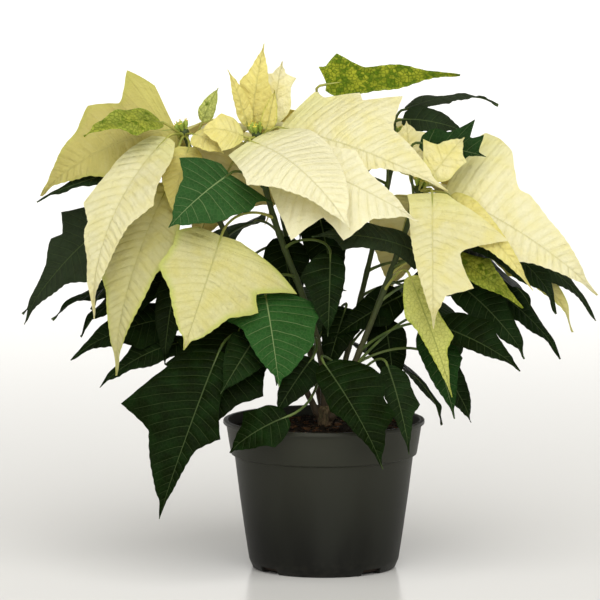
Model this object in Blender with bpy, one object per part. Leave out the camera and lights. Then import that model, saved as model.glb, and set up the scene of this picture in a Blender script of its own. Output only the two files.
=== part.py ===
"""A cream poinsettia in a tapered plastic nursery pot.

Sizes are in millimetres and become metres in one place. X runs across the front view, Y runs
away from the viewer and Z is up, with the origin under the middle of the pot.
"""
import math
import random

import bmesh
import bpy
from mathutils import Matrix, Vector, noise
from mathutils.bvhtree import BVHTree

MM = 0.001
GAP = 0.3

# Pot
POT_HEIGHT = 122.0
RIM_RADIUS = 82.5
LIP_DROP = 3.4
LIP_OUT = 2.3
BAND_FOOT_Z = 94.0
BAND_FOOT_RADIUS = 76.2
BODY_TOP_RADIUS = 73.2
BODY_FOOT_RADIUS = 61.3
CHAMFER_Z = 7.0
BASE_RADIUS = 58.5
WALL = 1.6
FLOOR = 2.0
POT_SIDES = 36
NOTCHES = 4
NOTCH_WIDTH = 28.0
NOTCH_HEIGHT = 5.0
BUDS = 6

# Soil and trunk
SOIL_TOP = 117.0
SOIL_EDGE_TOP = 113.0
TRUNK_RADIUS = 6.0
TRUNK_TOP = 133.0
TRUNK_X = 1.0

# The front view is taken from a little above and from far away
VIEW_DROP = math.tan(math.radians(7.0))
VIEW_DISTANCE = 4500.0
VIEW_MIDDLE = 220.0

# Leaves
THICK = 0.8
CLEAR = 1.1
VEIN_ANGLE_TIP = 38.0
LOBE_SPREAD = 0.17
LOBES_MERGE = 0.12

# Flower heads: where each sits in the front view (across, up, depth), and its lean
HEADS = {
    "c": ((-54.0, 350.0, -8.0), (-0.10, -0.15, 1.0)),
    "r": ((76.0, 306.0, -22.0), (0.30, -0.20, 1.0)),
    "l": ((-112.0, 352.0, 18.0), (-0.35, 0.05, 1.0)),
    "b": ((60.0, 348.0, 78.0), (0.25, 0.35, 1.0)),
    "k": ((-42.0, 342.0, 100.0), (-0.15, 0.45, 1.0)),
}

# Branches: the trunk's side they leave by, in degrees, the height there, and their girth
BRANCHES = {
    "c": (None, TRUNK_TOP, 2.9),
    "r": (-36.0, 124.0, 2.7),
    "l": (180.0, 126.0, 2.7),
    "b": (36.0, 127.0, 2.5),
    "k": (108.0, 124.0, 2.5),
}

# Bracts and leaves that face the front. Each has its carrier, its place along the branch (None at
# the head), its foot and its tip (across, up, depth), the way its upper face looks, half widths
# left and right, bow, the spread of its lowest veins, fold, and its lobes left and right as
# (forward, sideways) from the foot.
BRACTS = [
    ("c_front", "c", (-60, 351, -22), (22, 280, -98), (0.25, -0.80, 0.55), 44, 29, 15, 100, -6,
     [(38, 44)], [(-8, 21), (42, 39)]),
    ("l_long", "l", (-128, 353, -8), (-193, 204, -74), (-0.45, -0.80, 0.40), 27, 27, 26, 70, 8,
     [(70, 33)], [(80, 32), (102, 20)]),
    ("r_large", "r", (97, 308, -20), (225, 224, -40), (0.10, -0.90, 0.42), 31, 24, 22, 100, 0,
     [(-11, 74), (6, 70), (24, 62), (58, 34)], [(70, 27)]),
    ("r_front", "r", (88, 308, -44), (89, 197, -96), (0.15, -0.93, 0.30), 27, 19, 6, 84, 6,
     [(42, 61), (84, 33)], [(4, 21)]),
    ("l_far", "l", (-121, 361, 14), (-234, 306, 10), (-0.12, -0.86, 0.50), 24, 38, 24, 98, -4,
     [(66, 27)], [(-1, 80), (56, 45)]),
    ("c_wide", "c", (-36, 362, -2), (101, 311, -58), (0.15, -0.74, 0.66), 42, 15, 12, 82, -6,
     [(8, 46), (42, 57), (77, 69)], [(80, 21)]),
    ("c_under", "c", (-38, 340, -24), (77, 293, -76), (0.10, -0.88, 0.45), 24, 42, 8, 84, 5,
     [(60, 28)], [(56, 66), (94, 46)]),
    ("l_low", "l", (-126, 316, -8), (-174, 157, -62), (-0.35, -0.85, 0.38), 28, 28, 18, 72, 8,
     [(60, 32)], [(40, 38), (84, 31)]),
    ("c_tall", "c", (-59, 362, 2), (-49, 430, 2), (-0.20, -0.85, 0.20), 14, 16, 5, 64, 14,
     [(36, 14)], [(30, 16)]),
    ("c_spike", "c", (-62, 362, -2), (-78, 409, -6), (0.20, -0.90, 0.10), 8, 9, 4, 60, 20, [], []),
    ("c_round", "c", (-42, 364, 8), (-34, 416, 18), (0.10, -0.85, 0.35), 15, 15, 4, 68, 6,
     [(38, 14)], [(40, 14)]),
    ("c_small", "c", (-47, 360, -14), (-40, 392, -22), (0.10, -0.85, 0.30), 8, 8, 3, 60, 15, [], []),
    ("c_left", "c", (-66, 354, -12), (-101, 360, -30), (-0.10, -0.76, 0.62), 17, 15, 5, 74, 8,
     [(18, 20)], [(20, 16)]),
    ("r_narrow", "r", (102, 306, -34), (171, 228, -66), (0.40, -0.72, 0.50), 13, 15, 14, 66, 10,
     [], [(50, 17)]),
    ("r_up", "r", (86, 319, -30), (114, 354, -38), (-0.10, -0.92, 0.30), 16, 15, 3, 76, 6,
     [(22, 25)], [(28, 16)]),
    ("r_back", "r", (70, 322, -8), (67, 367, 4), (0.05, -0.95, 0.25), 16, 17, 3, 74, 4,
     [(34, 17)], [(34, 17)]),
    ("r_yellow", "r", (81, 318, -44), (107, 333, -58), (0.0, -0.85, 0.50), 10, 10, 4, 66, 8, [], []),
    ("r_side", "r", (112, 284, 6), (209, 195, 4), (0.30, -0.62, 0.72), 19, 19, 14, 72, 6,
     [(52, 24)], [(56, 24)]),
    ("l_right", "l", (-106, 356, -6), (-82, 341, -32), (0.05, -0.78, 0.58), 13, 13, 4, 76, 6, [], []),
    ("m2", "l", (-133, 366, -4), (-196, 356, -40), (-0.15, -0.62, 0.75), 17, 15, 7, 80, 12,
     [(34, 21)], []),
]

LEAVES = [
    ("g1", "c", 0.84, (-77, 324, -32), (-127, 280, -84), (0.05, -0.85, 0.50), 34, 24, 6, 100, 4,
     [(-10, 43), (20, 37)], [(22, 37)]),
    ("g9", "l", 0.34, (-86, 178, -66), (-136, 39, -110), (-0.10, -0.93, 0.30), 17, 41, 10, 76, 4,
     [(70, 27)], [(67, 60)]),
    ("g11", "c", 0.50, (-48, 224, -46), (-37, 149, -98), (0.05, -0.90, 0.40), 38, 24, 6, 92, -4,
     [(16, 44), (46, 34)], [(15, 37)]),
    ("g12", "r", 0.26, (0, 168, -64), (49, 81, -112), (0.20, -0.92, 0.30), 30, 16, 8, 84, 5,
     [(38, 36), (66, 30)], [(44, 18)]),
    ("g14", "c", 0.06, (-30, 124, -84), (-79, 94, -82), (-0.20, -0.82, 0.52), 17, 17, 6, 84, 4,
     [(20, 21)], [(30, 22)]),
    ("g20", "r", 0.42, (90, 200, -34), (161, 162, -58), (0.20, -0.78, 0.60), 20, 14, 8, 84, 5,
     [(40, 25)], []),
    ("g21", "r", 0.34, (84, 200, -30), (107, 122, -58), (0.10, -0.92, 0.30), 17, 15, 6, 78, 5,
     [(36, 19)], []),
    ("g31", "k", 0.52, (-34, 272, 22), (-24, 206, 6), (0.05, -0.94, 0.25), 17, 18, 5, 84, 4,
     [(20, 21)], [(26, 21)]),
    ("g32", "b", 0.46, (64, 224, 14), (8, 190, -6), (-0.10, -0.80, 0.55), 15, 16, 5, 82, 4,
     [(26, 18)], []),
    ("g33", "b", 0.36, (50, 203, 14), (58, 144, 4), (0.05, -0.92, 0.35), 16, 17, 5, 82, 4,
     [], [(22, 19)]),
    ("g34", "k", 0.70, (-4, 290, 26), (10, 222, 6), (0.10, -0.92, 0.30), 18, 19, 5, 82, 4,
     [], []),
    ("g35", "k", 0.34, (18, 214, 14), (2, 158, 0), (-0.10, -0.92, 0.35), 15, 15, 5, 82, 4,
     [(18, 17)], []),
    ("g13", "r", 0.20, (52, 166, -48), (70, 93, -86), (0.20, -0.90, 0.30), 14, 12, 6, 76, 6,
     [(40, 17)], []),
    ("g19", "r", 0.62, (106, 236, -12), (166, 172, -24), (0.25, -0.78, 0.60), 21, 18, 8, 82, 4,
     [(30, 27)], []),
    ("g18", "r", 0.80, (108, 288, 2), (225, 204, 14), (0.25, -0.60, 0.78), 20, 20, 14, 76, 5,
     [(60, 24)], [(50, 24)]),
    ("g16", "r", 0.74, (76, 259, -28), (-10, 274, -60), (-0.10, -0.66, 0.76), 16, 20, 8, 80, 5,
     [(8, 25), (72, 20)], []),
    ("g17", "c", 0.62, (5, 258, -34), (3, 190, -60), (0.05, -0.95, 0.20), 13, 20, 5, 82, 4,
     [], [(22, 24)]),
    ("g15", "c", 0.24, (-10, 172, -44), (-40, 126, -66), (-0.10, -0.92, 0.25), 16, 15, 5, 80, 5,
     [], [(26, 19)]),
    ("g10", "c", 0.34, (-56, 190, -44), (-84, 144, -76), (-0.10, -0.90, 0.35), 20, 18, 5, 82, 5,
     [(18, 24)], []),
    ("g6", "l", 0.44, (-112, 206, -4), (-208, 171, -10), (-0.20, -0.62, 0.78), 22, 22, 12, 82, 6,
     [(44, 29)], [(40, 27)]),
    ("g7", "l", 0.38, (-112, 186, -26), (-185, 149, -36), (-0.20, -0.60, 0.80), 16, 16, 8, 78, 6,
     [], [(36, 19)]),
    ("g8", "l", 0.55, (-120, 242, -22), (-131, 167, -48), (-0.20, -0.92, 0.25), 15, 15, 6, 76, 6,
     [(34, 19)], []),
    ("g2", "l", 0.78, (-160, 294, 8), (-248, 200, 16), (-0.35, -0.75, 0.55), 24, 20, 14, 84, 4,
     [(60, 31)], [(42, 46), (62, 27)]),
    ("g4", "l", 0.64, (-158, 256, 34), (-248, 210, 44), (-0.20, -0.25, 0.95), 20, 20, 10, 82, 6,
     [(40, 25)], [(36, 25)]),
    ("g5", "l", 0.50, (-138, 232, 60), (-224, 206, 84), (-0.20, -0.30, 0.92), 18, 18, 10, 80, 6,
     [], [(40, 23)]),
    ("g30", "l", 0.88, (-148, 331, -6), (-236, 303, -14), (-0.20, -0.55, 0.80), 10, 10, 3, 78, 4,
     [(22, 13)], []),
    ("g22", "r", 0.36, (92, 170, 0), (121, 119, 6), (0.25, -0.80, 0.55), 14, 14, 5, 78, 5, [], []),
    ("g23", "b", 0.62, (118, 240, 44), (196, 172, 56), (0.25, -0.65, 0.72), 17, 17, 10, 78, 5,
     [(40, 21)], [(36, 20)]),
    ("g27", "r", 0.95, (78, 349, -22), (132, 331, -32), (0.05, -0.88, 0.45), 14, 9, 4, 84, 4,
     [(40, 28), (50, 17)], [(36, 10)]),
    ("g26", "b", 0.86, (64, 368, 48), (116, 358, 40), (0.10, -0.72, 0.68), 15, 13, 5, 80, 6, [], []),
    ("g25", "b", 0.96, (66, 377, 66), (143, 384, 78), (0.05, -0.12, 0.98), 12, 12, 6, 80, 4,
     [(30, 17)], [(34, 17)]),
]

# Low bracts and half-turned leaves, cream or mottled, that leave the branch below its head
MOTTLED = [
    ("c_three", "c", 0.74, (-84, 273, -52), (-115, 179, -94), (-0.10, -0.90, 0.35), 38, 34, 6,
     98, -5, [(20, 73), (50, 48)], [(8, 36), (38, 41)]),
    ("m24", "b", 0.93, (2, 397, 34), (111, 405, 46), (-0.05, -0.78, 0.62), 13, 15, 4, 104, 6,
     [(-4, 18), (12, 30)], [(44, 13)]),
    ("m28", "l", 0.95, (-99, 366, 18), (-86, 394, 20), (-0.20, -0.88, 0.20), 8, 8, 2, 72, 10, [], []),
    ("m4", "r", 0.66, (70, 240, -46), (105, 140, -82), (0.15, -0.93, 0.25), 13, 14, 7, 68, 8,
     [(60, 16)], [(34, 17)]),
    ("m8", "r", 0.72, (100, 256, -30), (163, 214, -44), (0.20, -0.75, 0.62), 13, 14, 6, 76, 7,
     [(30, 17)], []),
]

# Bracts that hang in the shade behind the others, placed after them
SHADED = [
    ("l_shade", "l", (-110, 346, 2), (-122, 286, -22), (-0.20, -0.90, 0.20), 16, 19, 8, 74, 6,
     [], [(26, 23)]),
    ("r_tan", "r", (94, 302, 4), (178, 262, 58), (0.30, 0.00, 0.95), 20, 20, 12, 74, 4,
     [(50, 27)], []),
]

# The sides that the front view hides: how many leaves or bracts turn the other way
BACK_BRACTS = {"c": 3, "r": 3, "l": 3, "b": 9, "k": 9}
BACK_LEAVES = {"c": 3, "r": 5, "l": 5, "b": 6, "k": 7}
GOLDEN_TURN = 137.5

COLOURS = {
    "pot": ((0.045, 0.050, 0.042), 0.42),
    "soil": ((0.030, 0.018, 0.010), 0.95),
    "trunk": ((0.120, 0.075, 0.040), 0.80),
    "foliage": ((0.020, 0.085, 0.025), 0.45),
    "bracts": ((0.800, 0.730, 0.400), 0.55),
    "buds": ((0.450, 0.520, 0.080), 0.50),
}


def seen(across, up, depth):
    """A place in the front view, and how deep it lies, as a point in space."""
    nearer = 1.0 + depth / VIEW_DISTANCE
    return Vector((across * nearer, depth,
                   VIEW_MIDDLE + (up - VIEW_MIDDLE) * nearer - VIEW_DROP * depth))


def bezier(p0, p1, p2, p3, t):
    s = 1.0 - t
    return p0 * s ** 3 + p1 * 3 * s * s * t + p2 * 3 * s * t * t + p3 * t ** 3


class Branch:
    """A branch's centre line from the trunk to its head."""

    def __init__(self, key):
        side, height, girth = BRANCHES[key]
        place, lean = HEADS[key]
        self.key = key
        self.girth = girth
        self.head = seen(*place)
        self.lean = Vector(lean).normalized()
        if side is None:
            self.foot = Vector((TRUNK_X, 0.0, height + GAP))
            self.out = Vector((0.0, 0.0, 1.0))
        else:
            angle = math.radians(side)
            self.out = Vector((math.cos(angle), math.sin(angle), 0.0))
            self.foot = Vector((TRUNK_X, 0.0, height)) + self.out * (TRUNK_RADIUS + GAP)
        reach = (self.head - self.foot).length
        self.p1 = self.foot + self.out * (10.0 if side is not None else 60.0) \
            + Vector((0.0, 0.0, 0.10 * reach))
        self.p2 = self.head - self.lean * reach * 0.42

    def at(self, t):
        return bezier(self.foot, self.p1, self.p2, self.head, t)

    def ring_points(self, count):
        return [self.at(i / (count - 1)) for i in range(count)]


class Blade:
    """One leaf or bract with its stalk, as a curved surface and a closed solid."""

    def __init__(self, name, carrier, place, foot, tip, face, left, right, bow, spread, fold,
                 lobes_left, lobes_right, stalk_root, stalk_out):
        self.name = name
        self.carrier = carrier
        self.place = place
        self.foot = foot.copy()
        self.tip = tip.copy()
        self.face = face.normalized()
        self.width = (left, right)
        self.bow = bow
        self.spread = spread
        self.fold = math.radians(fold)
        self.root = stalk_root.copy()
        self.root_out = stalk_out.copy()
        self.lobes = (lobes_left, lobes_right)
        self.twist = 0.0
        self.phase = (sum(ord(ch) for ch in name) % 17) * 0.37
        self.settle()

    def settle(self):
        """Works out the frame from the foot, tip and face."""
        chord = self.tip - self.foot
        self.length = chord.length
        self.along = chord.normalized()
        side = self.along.cross(self.face).normalized()
        self.lift = side.cross(self.along).normalized()
        self.stations = []
        for lobes in self.lobes:
            found = []
            for forward, sideways in lobes:
                low, high = 0.0, 0.92
                for _ in range(24):
                    mid = 0.5 * (low + high)
                    angle = self.vein_angle(mid)
                    if mid * self.length + sideways / math.tan(angle) > forward:
                        high = mid
                    else:
                        low = mid
                found.append((low, sideways / math.sin(self.vein_angle(low))))
            self.stations.append(found)

    def vein_angle(self, u):
        return math.radians(self.spread + (VEIN_ANGLE_TIP - self.spread) * u)

    def reach(self, u, side):
        """How far the side vein at station u runs before it meets the edge."""
        plain = self.width[side] * self.profile(u)
        most = plain
        for station, length in self.stations[side]:
            near = max(0.0, 1.0 - abs(u - station) / LOBE_SPREAD)
            most = max(most, plain + (length - plain) * near ** 1.5)
        for (low, first), (high, last) in zip(self.stations[side], self.stations[side][1:]):
            if low <= u <= high < low + LOBES_MERGE:
                most = max(most, first + (last - first) * (u - low) / (high - low))
        return most

    @staticmethod
    def profile(u):
        base = 0.75 + 0.25 * min(1.0, u / 0.15)
        return base * max(0.0, math.cos(0.5 * math.pi * max(0.0, (u - 0.18) / 0.82))) ** 1.15

    def frame(self, t):
        """The midrib's point, direction, side and normal at the fraction t of its length."""
        s = min(max(t, -0.25), 1.1)
        middle = self.foot + (self.tip - self.foot) * s + self.lift * self.bow * 4.0 * s * (1.0 - s)
        ahead = self.along * self.length + self.lift * self.bow * 4.0 * (1.0 - 2.0 * s)
        ahead.normalize()
        side = ahead.cross(self.face)
        side = (side - ahead * side.dot(ahead)).normalized()
        normal = side.cross(ahead)
        if self.twist:
            turn = Matrix.Rotation(self.twist * s, 3, ahead)
            side, normal = turn @ side, turn @ normal
        return middle, ahead, side, normal

    def point(self, forward, sideways):
        """A place on the flat blade, and the blade's normal there, on the curved one."""
        def surface(a, b):
            middle, _, side, normal = self.frame(a / self.length)
            width = max(self.width[0], self.width[1])
            rise = abs(b) * math.sin(self.fold) - 0.10 * b * b / width
            rise += 1.6 * math.sin(a * 0.085 + self.phase + (1.3 if b > 0 else 0.0)) \
                * min(1.0, (b / width) ** 2)
            return middle + side * b * math.cos(self.fold) + normal * rise
        here = surface(forward, sideways)
        da = surface(forward + 0.5, sideways) - surface(forward - 0.5, sideways)
        db = surface(forward, sideways + 0.5) - surface(forward, sideways - 0.5)
        return here, db.cross(da).normalized()

    def rows(self):
        """The stations where the solid has a row of vertices."""
        if self.length < 60.0:
            plain = (0.20, 0.50, 0.78)
        elif self.length < 110.0:
            plain = (0.16, 0.38, 0.60, 0.82)
        else:
            plain = (0.13, 0.30, 0.48, 0.66, 0.84)
        kept = [0.0]
        lobes = sorted(s for side in self.stations for s, _ in side)
        for station in lobes:
            if station - kept[-1] > 0.035:
                kept.append(station)
        for station in plain:
            if all(abs(station - other) > 0.085 for other in kept):
                kept.append(station)
        return sorted(kept) + [1.0]

    def stalk(self, t):
        ahead = self.frame(0.0)[1]
        reach = (self.foot - self.root).length
        return bezier(self.root, self.root + self.root_out * reach * 0.35,
                      self.foot - ahead * reach * 0.35, self.foot, t)

    def solid(self, thick, stalk_from=0.0):
        """Vertices and faces of the closed solid, stalk included."""
        verts, faces = [], []
        reach = (self.foot - self.root).length
        count = 2 if reach < 25.0 else 3
        _, _, side0, _ = self.frame(0.0)
        extra = thick - THICK
        for i in range(count):
            t = i / count
            if t < stalk_from:
                continue
            here = self.stalk(t)
            ahead = (self.stalk(t + 0.02) - here).normalized()
            side = (side0 - ahead * side0.dot(ahead)).normalized()
            up = side.cross(ahead)
            half, deep = 1.15 + 0.5 * extra, 1.0 + 0.5 * extra
            verts += [here - side * half + up * 0.45 * deep, here + up * deep,
                      here + side * half + up * 0.45 * deep, here + side * half - up * 0.45 * deep,
                      here - up * deep, here - side * half - up * 0.45 * deep]
        for u in self.rows():
            angle = self.vein_angle(u)
            outline = []
            for side in (0, 1):
                far = max(self.reach(u, side), 0.7 + 0.5 * extra)
                sign = -1.0 if side == 0 else 1.0
                outline.append((u * self.length + far * math.cos(angle),
                                sign * far * math.sin(angle)))
            left, n_left = self.point(*outline[0])
            middle, n_middle = self.point(u * self.length, 0.0)
            right, n_right = self.point(*outline[1])
            half = 0.5 * thick
            verts += [left + n_left * half, middle + n_middle * half, right + n_right * half,
                      right - n_right * half, middle - n_middle * half, left - n_left * half]
        rings = len(verts) // 6
        for i in range(rings - 1):
            a, b = i * 6, i * 6 + 6
            faces += [(a, b, b + 1), (a, b + 1, a + 1)]
            faces += [(a + 1, b + 1, a + 2), (b + 1, b + 2, a + 2)]
            faces += [(a + 2, b + 2, b + 3), (a + 2, b + 3, a + 3)]
            faces += [(a + 3, b + 3, b + 4), (a + 3, b + 4, a + 4)]
            faces += [(a + 4, b + 4, a + 5), (b + 4, b + 5, a + 5)]
            faces += [(a + 5, b + 5, b), (a + 5, b, a)]
        faces += [(0, 1, 4), (0, 4, 5), (1, 2, 3), (1, 3, 4)]
        end = len(verts) - 6
        faces += [(end + 1, end, end + 4), (end + 4, end, end + 5),
                  (end + 2, end + 1, end + 3), (end + 3, end + 1, end + 4)]
        return verts, faces


class Crowd:
    """The solids that have found their place, so that each new one keeps clear of them."""

    def __init__(self):
        self.members = []

    @staticmethod
    def box(verts):
        low = Vector([min(v[k] for v in verts) for k in range(3)])
        high = Vector([max(v[k] for v in verts) for k in range(3)])
        return low, high

    def add(self, name, group, verts, faces, inner=None):
        """inner is the part that its own group is tested against."""
        tree = BVHTree.FromPolygons(verts, faces)
        own = BVHTree.FromPolygons(*inner) if inner else None
        self.members.append((name, group, self.box(verts), tree, own))

    def hits(self, group, verts, faces, inner, floor):
        """The members that a new solid would run into."""
        if min(v.z for v in verts) < floor:
            return ["floor"]
        low, high = self.box(verts)
        tree = BVHTree.FromPolygons(verts, faces)
        own = BVHTree.FromPolygons(*inner)
        found = []
        for name, other, (lo, hi), other_tree, other_own in self.members:
            if any(high[k] < lo[k] or low[k] > hi[k] for k in range(3)):
                continue
            if other == group:
                if other_own and own.overlap(other_own):
                    found.append(name)
            elif tree.overlap(other_tree):
                found.append(name)
        return found


def front_trials():
    """Small moves for a blade that faces the front, the slightest first."""
    tries = []
    for foot_y in (0, -7, 7, -14, 14):
        for tip_y in (0, -12, 12, -24, 24, 36, -36):
            for tip_z in (0, 7, -7, 14, -14):
                for roll in (0, -12, 12, -24, 24):
                    cost = abs(foot_y) * 1.2 + abs(tip_y) * 0.6 + abs(tip_z) * 1.5 + abs(roll) * 0.5
                    tries.append((cost, foot_y, tip_y, tip_z, roll))
    return sorted(tries, key=lambda item: item[0])


def back_trials():
    """Turns about the stalk's root for a blade at the back, the slightest first."""
    tries = []
    for yaw in (0, -9, 9, -18, 18, -27, 27, -38, 38):
        for pitch in (0, -10, 10, -20, 20, 30):
            for roll in (0, -15, 15, -30, 30):
                tries.append((abs(yaw) + abs(pitch) * 0.9 + abs(roll) * 0.6, yaw, pitch, roll))
    return sorted(tries, key=lambda item: item[0])


def moved(blade, start, trial, front):
    """Puts a blade at one of its trial places."""
    foot, tip, face = start
    if front:
        _, foot_y, tip_y, tip_z, roll = trial
        blade.foot = foot + Vector((0.0, foot_y, -foot_y * VIEW_DROP))
        blade.tip = tip + Vector((0.0, tip_y, tip_z - tip_y * VIEW_DROP))
        blade.face = face
    else:
        _, yaw, pitch, roll = trial
        out = foot - blade.root
        level = Vector((-out.y, out.x, 0.0)).normalized()
        turn = Matrix.Rotation(math.radians(yaw), 3, "Z") \
            @ Matrix.Rotation(math.radians(-pitch), 3, level)
        blade.foot = blade.root + turn @ out
        blade.tip = blade.root + turn @ (tip - blade.root)
        blade.face = turn @ face
    axis = (blade.tip - blade.foot).normalized()
    blade.face = Matrix.Rotation(math.radians(roll), 3, axis) @ blade.face
    blade.settle()


def settle_blade(blade, group, crowd, front):
    """Moves a blade by the least that keeps it clear of the rest."""
    start = (blade.foot.copy(), blade.tip.copy(), blade.face.copy())
    fewest = None
    for trial in FRONT_TRIALS if front else BACK_TRIALS:
        moved(blade, start, trial, front)
        verts, faces = blade.solid(THICK + 2.0 * CLEAR)
        inner = blade.solid(THICK + 2.0 * CLEAR, stalk_from=0.7)
        struck = crowd.hits(group, verts, faces, inner, 6.0)
        if not struck:
            crowd.add(blade.name, group, *blade.solid(THICK), blade.solid(THICK, stalk_from=0.7))
            return []
        if fewest is None or len(struck) < len(fewest):
            fewest = struck
    return fewest


FRONT_TRIALS = front_trials()
BACK_TRIALS = back_trials()


def make_blade(row, branches, mottled=False):
    """A blade from a row of the tables above."""
    name, key = row[0], row[1]
    branch = branches[key]
    if len(row) == 13:
        place, rest = row[2], row[3:]
        root = branch.at(place)
    else:
        place, rest = None, row[2:]
        root = branch.head + branch.lean * 4.0
    foot, tip = seen(*rest[0]), seen(*rest[1])
    face = Vector(rest[2])
    out = foot - root
    if place is None:
        out.z *= 0.25
    out.normalize()
    if place is not None:
        rise = branch.at(min(place + 0.02, 1.0)) - branch.at(place)
        out = (out + rise.normalized() * 0.8).normalized()
    return Blade(name, key, place, foot, tip, face, rest[3], rest[4], rest[5], rest[6], rest[7],
                 rest[8], rest[9], root, out)


def back_blade(kind, key, index, branches, rng):
    """A leaf or bract for the sides that the front view hides."""
    branch = branches[key]
    hidden = key in ("b", "k")
    turn = index * GOLDEN_TURN + {"c": 20, "r": 50, "l": 110, "b": 200, "k": 265}[key]
    if not hidden:
        centre = {"c": 95.0, "r": 48.0, "l": 128.0}[key]
        turn = centre + 34.0 * (index - 1) + rng.uniform(-8, 8)
    angle = math.radians(turn)
    out = Vector((math.cos(angle), math.sin(angle), 0.0))
    up = Vector((0.0, 0.0, 1.0))
    if kind == "bract":
        inner = hidden and index >= 6
        size = rng.uniform(46, 58) if inner else rng.uniform(98, 128) * (1.0 - 0.2 * max(0.0, out.x))
        droop = 42.0 * max(0.0, out.x) + 16.0 * max(0.0, -out.x)
        pitch = math.radians(18 if inner else rng.uniform(-34, -12) - droop)
        root = branch.head + branch.lean * 4.0
        foot = root + out * (9.0 if inner else 16.0) + up * (6.0 if inner else -1.5 * (index % 3))
        place = None
        wide = size * rng.uniform(0.25, 0.31)
        stalk_out = out
    else:
        place = 0.88 - 0.085 * index if hidden else 0.90 - 0.11 * index
        root = branch.at(place)
        size = rng.uniform(84, 116)
        pitch = math.radians(rng.uniform(-48, -20))
        foot = root + out * rng.uniform(34, 50) + up * rng.uniform(2, 12)
        wide = size * rng.uniform(0.24, 0.31)
        stalk_out = (out + up * 0.6).normalized()
    tip = foot + out * size * math.cos(pitch) + up * size * math.sin(pitch)
    sway = Vector((-out.y, out.x, 0.0)) * rng.uniform(-14, 14)
    face = out * max(0.15, -math.sin(pitch)) + up + sway * 0.01
    lobes = [[], []]
    for side in (0, 1):
        for forward in (0.28, 0.52):
            if rng.random() < 0.45:
                lobes[side].append((forward * size, wide * rng.uniform(1.15, 1.45)))
    return Blade("%s_%s_%d" % (kind, key, index), key, place, foot, tip + sway, face,
                 wide * rng.uniform(0.9, 1.1), wide, size * 0.12, 82.0, rng.uniform(-4, 8),
                 lobes[0], lobes[1], root, stalk_out)


def material(name, kind):
    colour, rough = COLOURS[kind]
    made = bpy.data.materials.new(name + "_material")
    made.use_nodes = True
    shader = made.node_tree.nodes["Principled BSDF"]
    shader.inputs["Base Color"].default_value = (*colour, 1.0)
    shader.inputs["Roughness"].default_value = rough
    return made


def new_object(name, verts, faces, kind=None):
    mesh = bpy.data.meshes.new(name)
    mesh.from_pydata([Vector(v) * MM for v in verts], [], faces)
    made = bpy.data.objects.new(name, mesh)
    bpy.context.scene.collection.objects.link(made)
    if kind:
        mesh.materials.append(material(name, kind))
    return made


def turned(profile, sides, closed_ring=False, twist=0.0):
    """A turned solid. A profile with no radius at its ends closes on the axis."""
    verts, faces = [], []
    rings = []
    for radius, height in profile:
        if radius == 0.0:
            rings.append([len(verts)] * sides)
            verts.append((0.0, 0.0, height))
            continue
        ring = []
        for i in range(sides):
            angle = 2.0 * math.pi * (i + twist) / sides
            ring.append(len(verts))
            verts.append((radius * math.cos(angle), radius * math.sin(angle), height))
        rings.append(ring)
    pairs = list(zip(rings, rings[1:]))
    if closed_ring:
        pairs.append((rings[-1], rings[0]))
    for low, high in pairs:
        for i in range(sides):
            j = (i + 1) % sides
            loop = []
            for index in (low[i], low[j], high[j], high[i]):
                if index not in loop:
                    loop.append(index)
            if len(loop) > 2:
                faces.append(tuple(loop))
    return verts, faces


def tube(points, radii, sides, first_direction=None):
    """A round rod along a path, with flat ends."""
    verts, faces = [], []
    side = None
    for i, here in enumerate(points):
        if i == 0:
            ahead = first_direction or (points[1] - here)
        elif i == len(points) - 1:
            ahead = here - points[i - 1]
        else:
            ahead = points[i + 1] - points[i - 1]
        ahead = ahead.normalized()
        if side is None:
            side = ahead.orthogonal().normalized()
        side = (side - ahead * side.dot(ahead)).normalized()
        across = ahead.cross(side)
        for k in range(sides):
            angle = 2.0 * math.pi * k / sides
            verts.append(here + (side * math.cos(angle) + across * math.sin(angle)) * radii[i])
    for i in range(len(points) - 1):
        for k in range(sides):
            a, b = i * sides + k, i * sides + (k + 1) % sides
            faces.append((a, b, b + sides, a + sides))
    faces.append(tuple(reversed(range(sides))))
    last = (len(points) - 1) * sides
    faces.append(tuple(range(last, last + sides)))
    return verts, faces


def fuse(target, parts):
    """Joins parts to the target one after another, and keeps its one whole body."""
    for part in parts:
        union = target.modifiers.new("Union", "BOOLEAN")
        union.operation = "UNION"
        union.object = part
        union.solver = "EXACT"
        graph = bpy.context.evaluated_depsgraph_get()
        fused = bpy.data.meshes.new_from_object(target.evaluated_get(graph))
        target.modifiers.clear()
        target.data = fused
        bpy.data.objects.remove(part)
    keep_whole_body(target)


def keep_whole_body(target):
    """Leaves only the largest body, without slivers or scraps."""
    shape = bmesh.new()
    shape.from_mesh(target.data)
    left = set(shape.faces)
    bodies = []
    while left:
        stack = [left.pop()]
        body = list(stack)
        while stack:
            for edge in stack.pop().edges:
                for face in edge.link_faces:
                    if face in left:
                        left.remove(face)
                        stack.append(face)
                        body.append(face)
        bodies.append(body)
    bodies.sort(key=len, reverse=True)
    scraps = [face for body in bodies[1:] for face in body]
    if scraps:
        bmesh.ops.delete(shape, geom=scraps, context="FACES")
    bmesh.ops.triangulate(shape, faces=shape.faces[:])
    shape.to_mesh(target.data)
    shape.free()


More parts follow.
